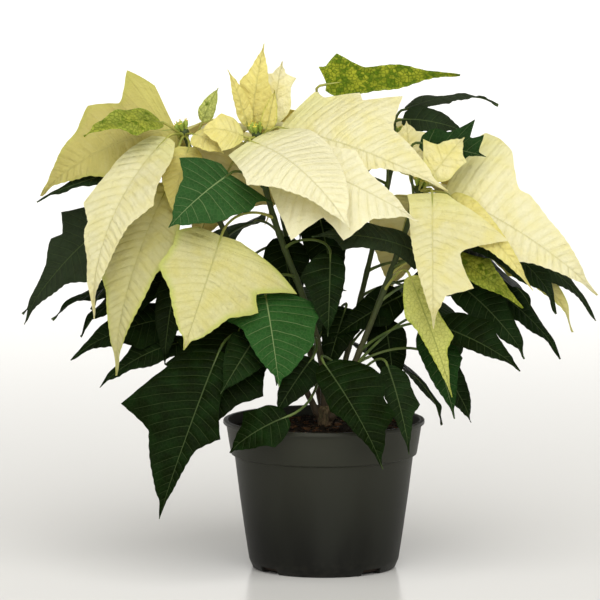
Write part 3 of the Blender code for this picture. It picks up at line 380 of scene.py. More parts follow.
class Blade:
    """One leaf or bract with its stalk, as a curved surface and a closed solid."""

    def __init__(self, name, place, foot, tip, face, left, right, bow, spread, fold, lobes_left,
                 lobes_right, root, root_out):
        self.name, self.place, self.bow, self.spread = name, place, bow, spread
        self.foot, self.tip, self.face = foot, tip, face.normalized()
        self.root, self.root_out = root, root_out
        self.width, self.lobes = (left, right), (lobes_left, lobes_right)
        self.fold = math.radians(fold)
        self.phase = (sum(ord(letter) for letter in name) % 17) * 0.37
        self.settle()

    def settle(self):
        """Works out the frame from the foot, tip and face, and the veins that end in lobes."""
        chord = self.tip - self.foot
        self.length = chord.length
        self.along = chord.normalized()
        side = self.along.cross(self.face).normalized()
        self.lift = side.cross(self.along).normalized()
        self.stations = [[self.station(*lobe) for lobe in lobes] for lobes in self.lobes]

    def station(self, forward, sideways):
        """Where along the midrib the vein to a lobe's point starts, and how long it is."""
        low, high = 0.0, 0.92
        for _ in range(HALVINGS):
            mid = 0.5 * (low + high)
            if mid * self.length + sideways / math.tan(self.vein_angle(mid)) > forward:
                high = mid
            else:
                low = mid
        return low, sideways / math.sin(self.vein_angle(low))

    def vein_angle(self, u):
        return math.radians(self.spread + (VEIN_ANGLE_TIP - self.spread) * u)

    def reach(self, u, side):
        """How far the side vein at station u runs before it meets the edge."""
        plain = self.width[side] * self.profile(u)
        most = plain
        for station, length in self.stations[side]:
            near = max(0.0, 1.0 - abs(u - station) / LOBE_SPREAD)
            most = max(most, plain + (length - plain) * near ** 1.5)
        for (low, first), (high, last) in zip(self.stations[side], self.stations[side][1:]):
            if low <= u <= high < low + LOBES_MERGE:
                most = max(most, first + (last - first) * (u - low) / (high - low))
        return most

    @staticmethod
    def profile(u):
        base = 0.75 + 0.25 * min(1.0, u / 0.15)
        return base * max(0.0, math.cos(0.5 * math.pi * max(0.0, (u - 0.18) / 0.82))) ** 1.15

    def frame(self, t):
        """The midrib's point, direction, side and normal at the fraction t of its length."""
        s = min(max(t, -0.25), 1.1)
        middle = self.foot + (self.tip - self.foot) * s + self.lift * self.bow * 4.0 * s * (1.0 - s)
        ahead = self.along * self.length + self.lift * self.bow * 4.0 * (1.0 - 2.0 * s)
        ahead.normalize()
        side = ahead.cross(self.face)
        side = (side - ahead * side.dot(ahead)).normalized()
        return middle, ahead, side, side.cross(ahead)

    def point(self, forward, sideways):
        """A place on the flat blade, and the blade's normal there, on the curved one."""
        def surface(a, b):
            middle, _, side, normal = self.frame(a / self.length)
            width = max(self.width[0], self.width[1])
            rise = abs(b) * math.sin(self.fold) - 0.10 * b * b / width
            rise += 1.6 * math.sin(a * 0.085 + self.phase + (1.3 if b > 0 else 0.0)) \
                * min(1.0, (b / width) ** 2)
            return middle + side * b * math.cos(self.fold) + normal * rise
        here = surface(forward, sideways)
        da = surface(forward + 0.5, sideways) - surface(forward - 0.5, sideways)
        db = surface(forward, sideways + 0.5) - surface(forward, sideways - 0.5)
        return here, db.cross(da).normalized()

    def rows(self):
        """The stations where the solid has a row of vertices."""
        plain = (0.20, 0.50, 0.78) if self.length < 60.0 else (0.16, 0.38, 0.60, 0.82)
        if self.length >= 110.0:
            plain = (0.13, 0.30, 0.48, 0.66, 0.84)
        kept = [0.0]
        for station in sorted(s for side in self.stations for s, _ in side):
            if station - kept[-1] > 0.035:
                kept.append(station)
        for station in plain:
            if all(abs(station - other) > 0.085 for other in kept):
                kept.append(station)
        return sorted(kept) + [1.0]

    def stalk(self, t):
        ahead = self.frame(0.0)[1]
        reach = (self.foot - self.root).length
        return bezier(self.root, self.root + self.root_out * reach * 0.35,
                      self.foot - ahead * reach * 0.35, self.foot, t)

    def solid(self, thick, stalk_from=0.0):
        """Vertices and faces of the closed solid, stalk included."""
        verts, skin = [], 0.5 * thick
        extra = 0.5 * (thick - THICK)
        half, deep = 1.15 + extra, 1.0 + extra
        first_side = self.frame(0.0)[2]
        count = 2 if (self.foot - self.root).length < SHORT_STALK else 3
        for t in [i / count for i in range(count) if i / count >= stalk_from]:
            here = self.stalk(t)
            ahead = (self.stalk(t + 0.02) - here).normalized()
            side = (first_side - ahead * first_side.dot(ahead)).normalized()
            up = side.cross(ahead)
            low = up * 0.45 * deep
            verts += [here - side * half + low, here + up * deep, here + side * half + low,
                      here + side * half - low, here - up * deep, here - side * half - low]
        for u in self.rows():
            angle = self.vein_angle(u)
            row = [self.point(u * self.length, 0.0)]
            for side, sign in enumerate((-1.0, 1.0)):
                far = max(self.reach(u, side), 0.7 + extra)
                row.insert(2 * side, self.point(u * self.length + far * math.cos(angle),
                                                sign * far * math.sin(angle)))
            verts += [here + normal * skin for here, normal in row]
            verts += [here - normal * skin for here, normal in reversed(row)]
        end = len(verts) - 6
        faces = [tuple(first + k for k in face) for first in range(0, end, 6) for face in RING_FACES]
        return verts, faces + FOOT_FACES + [tuple(end + k for k in face) for face in TIP_FACES]

    def solids(self, thick):
        """The whole solid, and the part that the solids of its own group keep clear of."""
        return self.solid(thick), self.solid(thick, stalk_from=OWN_STALK_FROM)


# How each blade finds room among the others, as the solids do

class Crowd:
    """The solids that have found their place, so that each new one keeps clear of them."""

    def __init__(self):
        self.members = []

    @staticmethod
    def measured(solid, inner):
        """A solid's box, and the search trees of the whole and of its inner part."""
        low, high = ([pick(vert[k] for vert in solid[0]) for k in range(3)] for pick in (min, max))
        return low, high, BVHTree.FromPolygons(*solid), inner and BVHTree.FromPolygons(*inner)

    def add(self, group, solid, inner=None):
        self.members.append((group, *self.measured(solid, inner)))

    def blocks(self, group, solid, inner):
        """Whether a new solid would hang too low or run into a member."""
        low, high, tree, own = self.measured(solid, inner)
        if low[2] < LEAST_HEIGHT:
            return True
        for other, other_low, other_high, other_tree, other_own in self.members:
            if any(high[k] < other_low[k] or low[k] > other_high[k] for k in range(3)):
                continue
            if other != group and tree.overlap(other_tree):
                return True
            if other == group and other_own and own.overlap(other_own):
                return True
        return False


def trials(weights, *moves):
    """Every mix of small moves, the slightest first."""
    return sorted(itertools.product(*moves), key=lambda mix: sum(
        abs(move) * weight for move, weight in zip(mix, weights)))


# For the front: the foot and the tip in depth, the tip's height, and roll, all but roll in mm
FRONT_TRIALS = trials((1.2, 0.6, 1.5, 0.5), (0, -7, 7, -14, 14), (0, -12, 12, -24, 24, 36, -36),
                      (0, 7, -7, 14, -14), (0, -12, 12, -24, 24))
# For the back: yaw, pitch and roll in degrees
BACK_TRIALS = trials((1.0, 0.9, 0.6), (0, -9, 9, -18, 18, -27, 27, -38, 38),
                     (0, -10, 10, -20, 20, 30), (0, -15, 15, -30, 30))


def moved(blade, start, trial, front):
    """Puts a blade at one of its trial places."""
    foot, tip, face = start
    *shifts, roll = trial
    if front:
        foot_y, tip_y, tip_z = shifts
        blade.foot = foot + Vector((0.0, foot_y, -foot_y * VIEW_DROP))
        blade.tip = tip + Vector((0.0, tip_y, tip_z - tip_y * VIEW_DROP))
    else:
        yaw, pitch = shifts
        out = foot - blade.root
        turn = Matrix.Rotation(math.radians(yaw), 3, "Z") \
            @ Matrix.Rotation(math.radians(-pitch), 3, quarter_on(out).normalized())
        blade.foot = blade.root + turn @ out
        blade.tip = blade.root + turn @ (tip - blade.root)
        face = turn @ face
    axis = (blade.tip - blade.foot).normalized()
    blade.face = Matrix.Rotation(math.radians(roll), 3, axis) @ face
    blade.settle()


def settle_blade(blade, group, crowd, front):
    """Moves a blade by the least that keeps it clear of the rest. Says whether it found room."""
    start = blade.foot, blade.tip, blade.face
    for trial in FRONT_TRIALS if front else BACK_TRIALS:
        moved(blade, start, trial, front)
        if not crowd.blocks(group, *blade.solids(THICK + 2.0 * CLEAR)):
            crowd.add(group, *blade.solids(THICK))
            return True
    return False


def make_blade(row, branches):
    """A blade from a row of the tables above."""
    name, key, *rest = row
    place = rest.pop(0) if len(row) == 13 else None
    foot, tip, face, *shape = rest
    foot, tip, branch = seen(*foot), seen(*tip), branches[key]
    if place is None:
        root = branch.head + branch.lean * BRACT_RISE
        out = foot - root
        out.z *= 0.25
        out.normalize()
    else:
        root = branch.at(place)
        rise = branch.at(min(place + 0.02, 1.0)) - root
        out = ((foot - root).normalized() + rise.normalized() * 0.8).normalized()
    return Blade(name, place, foot, tip, Vector(face), *shape, root, out)


def back_blade(kind, key, index, branches, rng):
    """A leaf or bract for the sides that the front view hides."""
    branch = branches[key]
    hidden = key in ("b", "k")
    if hidden:
        turn = index * GOLDEN_TURN + BACK_TURNS[key]
    else:
        turn = BACK_TURNS[key] + BACK_STEP * (index - 1) + rng.uniform(-8, 8)
    out = level(math.radians(turn))
    up = Vector((0.0, 0.0, 1.0))
    if kind == "bract":
        inner = hidden and index >= 6
        size = rng.uniform(46, 58) if inner else rng.uniform(98, 128) * (1.0 - 0.2 * max(0.0, out.x))
        droop = 42.0 * max(0.0, out.x) + 16.0 * max(0.0, -out.x)
        pitch = math.radians(18 if inner else rng.uniform(-34, -12) - droop)
        place, root = None, branch.head + branch.lean * BRACT_RISE
        foot = root + out * (9.0 if inner else 16.0) + up * (6.0 if inner else -1.5 * (index % 3))
        wide = size * rng.uniform(0.25, 0.31)
        stalk_out = out
    else:
        place = 0.88 - 0.085 * index if hidden else 0.90 - 0.11 * index
        root = branch.at(place)
        size = rng.uniform(84, 116)
        pitch = math.radians(rng.uniform(-48, -20))
        foot = root + out * rng.uniform(34, 50) + up * rng.uniform(2, 12)
        wide = size * rng.uniform(0.24, 0.31)
        stalk_out = (out + up * 0.6).normalized()
    tip = foot + out * size * math.cos(pitch) + up * size * math.sin(pitch)
    sway = quarter_on(out) * rng.uniform(-14, 14)
    face = out * max(0.15, -math.sin(pitch)) + up + sway * 0.01
    lobes = [[(forward * size, wide * rng.uniform(1.15, 1.45)) for forward in (0.28, 0.52)
              if rng.random() < 0.45] for _ in range(2)]
    return Blade("%s_%s_%d" % (kind, key, index), place, foot, tip + sway, face,
                 wide * rng.uniform(0.9, 1.1), wide, size * 0.12, 82.0, rng.uniform(-4, 8),
                 *lobes, root, stalk_out)


def turned(profile, sides, twist=0.0):
    """Vertices and faces of a turned solid."""
    verts, faces, rings = [], [], []
    for radius, height in profile:
        count = sides if radius else 1
        rings.append([len(verts) + i % count for i in range(sides)])
        for i in range(count):
            angle = 2.0 * math.pi * (i + twist) / sides
            verts.append((radius * math.cos(angle), radius * math.sin(angle), height))
    for low, high in zip(rings, rings[1:]):
        for i in range(sides):
            j = (i + 1) % sides
            loop = tuple(dict.fromkeys((low[i], low[j], high[j], high[i])))
            if len(loop) > 2:
                faces.append(loop)
    return verts, faces


def rod(points, radii, sides, first_direction):
    """Vertices and faces of a coarse round rod along a path."""
    verts, faces = [], []
    side = first_direction.normalized().orthogonal().normalized()
    for i, here in enumerate(points):
        ahead = first_direction if i == 0 else points[min(i + 1, len(points) - 1)] - points[i - 1]
        ahead = ahead.normalized()
        side = (side - ahead * side.dot(ahead)).normalized()
        across = ahead.cross(side)
        for k in range(sides):
            angle = 2.0 * math.pi * k / sides
            verts.append(here + (side * math.cos(angle) + across * math.sin(angle)) * radii[i])
    last = (len(points) - 1) * sides
    for a in range(last):
        b = a + 1 if (a + 1) % sides else a + 1 - sides
        faces.append((a, b, b + sides, a + sides))
    faces += [tuple(reversed(range(sides))), tuple(range(last, last + sides))]
    return verts, faces


def grow():
    """Every branch, and every blade in its place."""
    rng = random.Random(PLANT_SEED)
    crowd = Crowd()
    branches = {key: Branch(key) for key in HEADS}
    pot = [(0.0, 0.0)] + POT_PROFILE + [(0.0, POT_HEIGHT - 3.0)]
    crowd.add("pot", turned(pot, POT_SIDES))
    corner = 1.0 / math.cos(math.pi / 10)
    verts, faces = turned([(r * corner, z) for r, z in TRUNK_PROFILE], 10, twist=0.5)
    crowd.add("trunk", ([Vector(vert) + Vector((TRUNK_X, 0.0, 0.0)) for vert in verts], faces))
    for key, branch in branches.items():
        radii = [branch.girth * (1.0 - 0.035 * i) for i in range(9)]
        crowd.add("foliage_" + key, rod([branch.at(i / 8) for i in range(9)], radii, 6, branch.out))
        for group, start, steps, radii in (("bracts_", GAP, (0.0, 3.0, 8.0), (3.0, 4.6, 4.2)),
                                           ("buds_", BUD_RISE, (0.0, 1.6, 2.8), (3.4, 3.6, 2.2))):
            low = branch.head + branch.lean * start
            crowd.add(group + key, rod([low + branch.lean * step for step in steps], radii, 8,
                                       branch.lean))

    queue = []
    for group, rows in (("bracts_", BRACTS), ("foliage_", MOTTLED + LEAVES), ("bracts_", SHADED)):
        queue += [(group + row[1], make_blade(row, branches), True) for row in rows]
    for group, kind, counts in (("bracts_", "bract", BACK_BRACTS), ("foliage_", "leaf", BACK_LEAVES)):
        queue += [(group + key, back_blade(kind, key, i, branches, rng), False)
                  for key, count in counts.items() for i in range(count)]
    blades = {group + key: [] for group in ("foliage_", "bracts_") for key in HEADS}
    for group, blade, front in queue:
        if settle_blade(blade, group, crowd, front):
            blades[group].append((blade, front))
    return branches, blades


# Modelling

def deselect():
    bpy.ops.object.select_all(action="DESELECT")


def take(piece):
    """Makes a piece the only one selected, and the active one."""
    deselect()
    piece.select_set(True)
    bpy.context.view_layer.objects.active = piece


def grid_sheet(name, across_cells, along_cells):
    """A flat grid, with each vertex's place across it (-1 to 1) and along it (0 to 1)."""
    deselect()
    bpy.ops.mesh.primitive_grid_add(x_subdivisions=across_cells, y_subdivisions=along_cells,
                                    size=2.0)
    made = bpy.context.object
    made.name = made.data.name = name
    flat = np.empty(len(made.data.vertices) * 3, dtype=np.float32)
    made.data.vertices.foreach_get("co", flat)
    flat = flat.reshape(-1, 3).astype(np.float64)
    return made, flat[:, 0], 0.5 * (flat[:, 1] + 1.0)


def put_points(piece, points):
    piece.data.vertices.foreach_set("co", (points * MM).astype(np.float32).ravel())
    piece.data.update()


def rolled(name, centres, side, across, radii, around):
    """A grid rolled into a round rod. Its two directions are the same for all rings or one a ring."""
    made, turn, along = grid_sheet(name, around, len(centres) - 1)
    row = np.rint(along * (len(centres) - 1)).astype(int)
    angle = (turn + 1.0) * math.pi
    radius = np.asarray(radii)[row]
    side, across = (np.broadcast_to(way, centres.shape)[row] for way in (side, across))
    put_points(made, centres[row] + side * (np.cos(angle) * radius)[:, None]
               + across * (np.sin(angle) * radius)[:, None])
    return made


def upright(name, profile, around, x=0.0):
    """A closed turned shape that stands upright, from its radii and heights."""
    made = rolled(name, np.array([(x, 0.0, z) for _, z in profile]), (1.0, 0.0, 0.0),
                  (0.0, 1.0, 0.0), [radius for radius, _ in profile], around)
    weld(made)
    return made


def weld(piece):
    """Closes the seams and poles of rolled grids."""
    take(piece)
    bpy.ops.object.mode_set(mode="EDIT")
    bpy.ops.mesh.select_all(action="SELECT")
    bpy.ops.mesh.remove_doubles(threshold=0.000012)
    bpy.ops.mesh.select_all(action="DESELECT")
    bpy.ops.object.mode_set(mode="OBJECT")


def soften(piece, angle=50.0):
    take(piece)
    bpy.ops.object.shade_smooth_by_angle(angle=math.radians(angle))


def joined(name, pieces):
    """Joins pieces into one."""
    take(pieces[0])
    for piece in pieces:
        piece.select_set(True)
    if len(pieces) > 1:
        bpy.ops.object.join()
    made = bpy.context.object
    made.name = made.data.name = name
    return made


def frames_along(points, first_side):
    """Sides and cross directions for the rings of a rod along a path."""
    points = np.asarray(points)
    ahead = np.gradient(points, axis=0)
    ahead /= np.linalg.norm(ahead, axis=1)[:, None]
    sides = np.empty_like(points)
    side = np.asarray(first_side, dtype=float)
    for i in range(len(points)):
        side = side - ahead[i] * side.dot(ahead[i])
        side = side / np.linalg.norm(side)
        sides[i] = side
    return sides, np.cross(ahead, sides)


def smoothstep(low, high, value):
    t = np.clip((value - low) / (high - low), 0.0, 1.0)
    return t * t * (3.0 - 2.0 * t)


def tag(piece, tints, along):
    """Keeps a blade's tints, painted light among them, and how far along it each point lies, for its
    materials.
    """
    painted_light, green, warm = tints
    layer = piece.data.color_attributes.new("tints", "FLOAT_COLOR", "POINT")
    values = np.empty((len(piece.data.vertices), 4), dtype=np.float32)
    values[:, 0], values[:, 1], values[:, 2], values[:, 3] = painted_light, green, along, warm
    layer.data.foreach_set("color", values.ravel())


class FineBlade:
    """The fine surface of a blade: pleats between the side veins, a wavy edge, a drawn-out tip."""

    def __init__(self, blade, cell):
        self.blade, self.cell = blade, cell
        self.veins = max(4, int(round(blade.length / VEIN_SPACING)))
        lively = random.Random(blade.name)
        self.waves = [(lively.uniform(1.6, 3.2), lively.uniform(0.0, 6.28), lively.uniform(0.9, 2.0))
                      for _ in range(2)]
        self.swell = [lively.uniform(0.0, 6.28) for _ in range(3)]
        self.curl = lively.uniform(0.3, 1.0)

    def edge(self, u, side):
        """The reach of the edge at the stations u, with a rounder foot and a drawn-out tip."""
        blade = self.blade
        reach = np.array([blade.reach(value, side) for value in u])
        near_foot = max([max(0.0, 1.0 - s / 0.12) for s, _ in blade.stations[side]] or [0.0])
        reach *= 1.0 - 0.42 * (1.0 - near_foot) * np.clip(1.0 - u / 0.11, 0.0, 1.0) ** 2
        reach *= 1.0 - 0.26 * np.sin(math.pi * np.clip((u - 0.80) / 0.20, 0.0, 1.0)) ** 2
        at_vein = self.vein_place(u, side)
        reach += 0.25 * np.cos(2.0 * math.pi * at_vein) * smoothstep(0.05, 0.2, u) \
            * (1.0 - smoothstep(0.7, 0.95, u))
        return np.maximum(reach, 0.22)

    def vein_place(self, u, right):
        """Where the stations u lie between the side veins: a whole number is on a vein."""
        drift = 0.34 * np.sin(6.0 * u + self.swell[2]) + 0.12 * np.sin(15.0 * u + self.swell[0])
        return u * self.veins + drift + np.where(right, 0.5, 0.0)

    def frames(self, s):
        """The midrib's points, directions, sides and normals at the stations s."""
        blade = self.blade
        foot, tip, lift, along, face = (np.array(way) for way in (
            blade.foot, blade.tip, blade.lift, blade.along, blade.face))
        s = np.clip(s, -0.25, 1.1)[:, None]
        middle = foot + (tip - foot) * s + lift * blade.bow * 4.0 * s * (1.0 - s)
        ahead = along * blade.length + lift * blade.bow * 4.0 * (1.0 - 2.0 * s)
        ahead /= np.linalg.norm(ahead, axis=1)[:, None]
        side = np.cross(ahead, face)
        side -= ahead * np.sum(side * ahead, axis=1)[:, None]
        side /= np.linalg.norm(side, axis=1)[:, None]
        return middle, ahead, side, np.cross(side, ahead)

    def surface(self, a, b, u, q):
        """Points of the curved blade for places a ahead and b aside of its foot."""
        blade = self.blade
        middle, _, side, normal = self.frames(a / blade.length)
        width = max(blade.width)
        rise = (np.sqrt(b * b + 2.0) - math.sqrt(2.0)) * math.sin(blade.fold) - 0.10 * b * b / width
        rise += 1.6 * np.sin(a * 0.085 + blade.phase + np.where(b > 0, 1.3, 0.0)) \
            * np.minimum(1.0, (b / width) ** 2)
        size = min(1.0, blade.length / 90.0)
        pleat = 0.5 - 0.5 * np.cos(2.0 * math.pi * self.vein_place(u, q > 0))
        pleat *= 0.46 + 0.22 * np.sin(a * 0.11 + b * 0.06 + self.swell[1])
        rise += size * pleat * smoothstep(0.02, 0.22, np.abs(q)) * (1.0 - 0.45 * np.abs(q)) \
            * (1.0 - smoothstep(0.75, 1.0, u))
        rise -= 0.8 * size * np.exp(-(b / 2.0) ** 2) * (1.0 - 0.8 * u)
        for hand, (count, start, high) in enumerate(self.waves):
            mine = (q > 0) == bool(hand)
            rise += np.where(mine, 1.0, 0.0) * high * size * np.abs(q) ** 3 \
                * np.sin(2.0 * math.pi * count * u + start)
        rise += 0.7 * np.sin(a * 0.052 + self.swell[0]) * np.sin(b * 0.075 + self.swell[1])
        rise -= self.curl * 0.05 * blade.length * smoothstep(0.72, 1.0, u) ** 2
        return middle + side * (b * math.cos(blade.fold))[:, None] + normal * rise[:, None]

    def sheet(self, name, tints):
        """The blade as a grid with its vein map, one face thick."""
        blade = self.blade
        along_cells = max(20, int(blade.length / self.cell))
        across_cells = 2 * max(5, int((blade.width[0] + blade.width[1]) / (3.2 * self.cell)))
        made, q, along = grid_sheet(name, across_cells, along_cells)
        row = np.rint(along * along_cells).astype(int)
        stations = np.linspace(0.0, 1.0, along_cells + 1)
        for s in sorted(s for side in blade.stations for s, _ in side):
            nearest = int(round(s * along_cells))
            if 0 < nearest < along_cells:
                stations[nearest] = s
        stations.sort()
        u = stations[row]
        r = np.where(q > 0, self.edge(stations, 1)[row], self.edge(stations, 0)[row])
        angle = np.radians(blade.spread + (VEIN_ANGLE_TIP - blade.spread) * u)
        a = u * blade.length + r * np.cos(angle) * np.abs(q) ** 1.25
        b = r * np.sin(angle) * q
        put_points(made, self.surface(a, b, u, q))
        corners = np.empty(len(made.data.loops), dtype=np.int32)
        made.data.loops.foreach_get("vertex_index", corners)
        right = np.repeat(q[corners].reshape(-1, 4).mean(axis=1) > 0.0, 4)
        made.data.uv_layers[0].name = "flat"
        made.data.uv_layers.new(name="veins")
        for label, across, up in (("flat", a[corners] * 0.1, b[corners] * 0.1),
                                  ("veins", self.vein_place(u[corners], right), q[corners])):
            places = np.stack([across, up], axis=1).astype(np.float32)
            made.data.uv_layers[label].data.foreach_set("uv", places.ravel())
        tag(made, tints, u)
        return made

    def stalk(self, name, tints):
        """The stalk, which runs on under the blade as its midrib."""
        blade = self.blade
        girth = 1.15 if blade.length > 45.0 else 0.85
        steps = 9 if (blade.foot - blade.root).length < SHORT_STALK else 14
        s = np.linspace(0.0, 0.93, 16)
        zero = np.zeros_like(s)
        _, _, side, normal = self.frames(s)
        thin = girth * 0.95 * (1.0 - 0.86 * s)
        spine = self.surface(s * blade.length, zero, s, zero)
        spine = spine - normal * (0.15 + thin * 0.62 * smoothstep(0.0, 0.12, s))[:, None]
        t = np.arange(steps) / steps
        stem = np.array([blade.stalk(float(value)) for value in t])
        points = np.concatenate([stem[:1], stem, spine, spine[-1:]])
        radii = np.concatenate([[0.0], girth * (1.30 - 0.35 * smoothstep(0.0, 0.25, t)), thin, [0.0]])
        points[0] -= (points[2] - points[1]) * 0.05
        points[-1] += (points[-2] - points[-3]) * 0.2
        made = rolled(name, points, *frames_along(points, side[0]), radii, STALK_SIDES)
        made.data.uv_layers[0].name = "flat"
        tag(made, tints, 0.0)
        return made


def leafage(name, blades, kind, materials):
    """All the blades of one carrier as one piece."""
    sheets, stalks = [], []
    for blade, front in blades:
        cream = kind == "bract" or blade.name in BRACT_TINTS
        lively = random.Random(blade.name + "tint")
        plain = (0.04, 0.30 + 0.50 * lively.random(), 0.30 * lively.random())
        green, warm, painted_light = BRACT_TINTS.get(blade.name, plain)
        if not cream:
            green = 1.0
            warm, painted_light = LEAF_TINTS.get(blade.name, (0.10 * lively.random(), 0.15 * lively.random()))
        fine = FineBlade(blade, FRONT_CELL if front else BACK_CELL)
        sheet = fine.sheet(blade.name, (painted_light, green, warm))
        look = "bract_" if cream else "leaf_"
        for side in ("face", "back"):
            sheet.data.materials.append(materials[look + side])
        # Each blade is thickened by itself, so that its back takes its own second material
        take(sheet)
        thicken = sheet.modifiers.new("Thickness", "SOLIDIFY")
        thicken.thickness = SHEET * MM
        thicken.offset = 0.0
        thicken.material_offset = 1
        bpy.ops.object.modifier_apply(modifier=thicken.name)
        sheets.append(sheet)
        stalk = fine.stalk(blade.name + "_stalk", (painted_light, green, warm))
        stalk.data.materials.append(materials[look + "stalk"])
        stalks.append(stalk)
    stems = joined(name + "_stalks", stalks)
    weld(stems)
    piece = joined(name, sheets + [stems])
    soften(piece, 60.0)
    return piece


def build_branch(branch, blades, materials):
    """A branch from the trunk to its head, with a swelling where each leaf leaves it."""
    t = np.linspace(0.0, 1.0, 70)
    points = np.array([branch.at(float(value)) for value in t])
    radii = branch.girth * (1.02 - 0.27 * t) * (1.0 + 0.35 * np.exp(-(t / 0.05) ** 2))
    for blade, _ in blades:
        if blade.place is not None:
            radii *= 1.0 + 0.16 * np.exp(-((t - blade.place) / 0.014) ** 2)
    rough = random.Random("branch" + branch.key)
    radii *= np.array([1.0 + rough.uniform(-0.02, 0.02) for _ in t])
    out, lean = np.array(branch.out), np.array(branch.lean)
    root = np.array(branch.foot - branch.out * 4.0)
    neck = [np.array(branch.head + branch.lean * rise) for rise in (2.2, 4.6, 7.0, 8.2)]
    points = np.concatenate([[root, root + out * 0.4], points, neck, [neck[-1] + lean * 0.3]])
    radii = np.concatenate([[0.0, branch.girth], radii, [3.1, 4.3, 4.2, 3.0], [0.0]])
    ways = frames_along(points, branch.out.orthogonal())
    made = rolled("branch_" + branch.key, points, *ways, radii, BRANCH_SIDES)
    weld(made)
    made.data.materials.append(materials["branch_bark"])
    soften(made)
    return made


def build_trunk(materials):
    """The short woody trunk, knobbly where it forks."""
    heights = np.concatenate([np.linspace(FLOOR + GAP, 104.0, 12), np.linspace(106.0, TRUNK_TOP, 34)])
    radii = np.interp(heights, [FLOOR + GAP, 60.0, 116.0, 124.0, TRUNK_TOP - 2.5, TRUNK_TOP],
                      [4.8, 6.0, 6.2, 6.5, 6.3, 4.6])
    profile = [(0.0, FLOOR + GAP), *zip(radii, heights), (0.0, TRUNK_TOP)]
    made = upright("trunk_wood", profile, TRUNK_SIDES, TRUNK_X)
    for vert in made.data.vertices:
        place = vert.co / MM
        out = Vector((place.x - TRUNK_X, place.y, 0.0))
        if out.length > 1.0 and place.z > 100.0:
            bump = 0.5 * noise.noise(Vector((place.x * 0.3, place.y * 0.3, place.z * 0.10)))
            bump += 0.25 * noise.noise(Vector((place.x, place.y, place.z * 0.3)))
            vert.co += out.normalized() * bump * MM
    made.data.materials.append(materials["trunk_bark"])
    soften(made)
    return made


def build_pot(materials):
    """The pot, drawn up ring by ring from its base, with drain notches cut in its foot."""
    radius, height = FINE_POT_PROFILE[0]
    deselect()
    bpy.ops.mesh.primitive_circle_add(vertices=FINE_POT_SIDES, radius=radius * MM,
                                      fill_type="NGON", location=(0.0, 0.0, 0.0))
    pot = bpy.context.object
    pot.name = pot.data.name = "nursery_pot"
    bpy.ops.object.mode_set(mode="EDIT")
    bpy.ops.mesh.select_all(action="SELECT")
    for next_radius, next_height in FINE_POT_PROFILE[1:]:
        bpy.ops.mesh.extrude_region_move(
            TRANSFORM_OT_translate={"value": (0.0, 0.0, (next_height - height) * MM)})
        scale = next_radius / radius
        bpy.ops.transform.resize(value=(scale, scale, 1.0))
        radius, height = next_radius, next_height
    bpy.ops.mesh.select_all(action="SELECT")
    bpy.ops.mesh.normals_make_consistent(inside=False)
    bpy.ops.mesh.select_all(action="DESELECT")
    bpy.ops.object.mode_set(mode="OBJECT")
    cutters = []
    for i in range(NOTCHES):
        out = level(2.0 * math.pi * (i + 0.5) / NOTCHES + math.radians(NOTCH_TURN))
        across = quarter_on(out)
        deselect()
        bpy.ops.mesh.primitive_cube_add(size=2.0)
        cutters.append(bpy.context.object)
        for vert in cutters[-1].data.vertices:
            far, wide, tall = vert.co
            half = NOTCH_WIDTH * (0.5 if far > 0 else 0.30) * (0.80 if tall > 0 else 1.0)
            reach = BASE_RADIUS + (8.0 if far > 0 else -7.0)
            vert.co = (out * reach + across * half * wide
                       + Vector((0.0, 0.0, NOTCH_HEIGHT if tall > 0 else -2.0))) * MM
    cutter = joined("notch_cutter", cutters)
    take(pot)
    cut = pot.modifiers.new("Notches", "BOOLEAN")
    cut.operation, cut.solver, cut.object = "DIFFERENCE", "EXACT", cutter
    bpy.ops.object.modifier_apply(modifier=cut.name)
    bpy.data.objects.remove(cutter)
    pot.data.materials.append(materials["pot_plastic"])
    soften(pot, 32.0)
    return pot


def lumps(x, y):
    """How far the soil's lumps raise its top."""
    return sum(high * noise.noise(Vector((x, y, 0.0)) * fine)
               for high, fine in ((1.5, 0.06), (1.3, 0.16), (0.9, 0.42)))


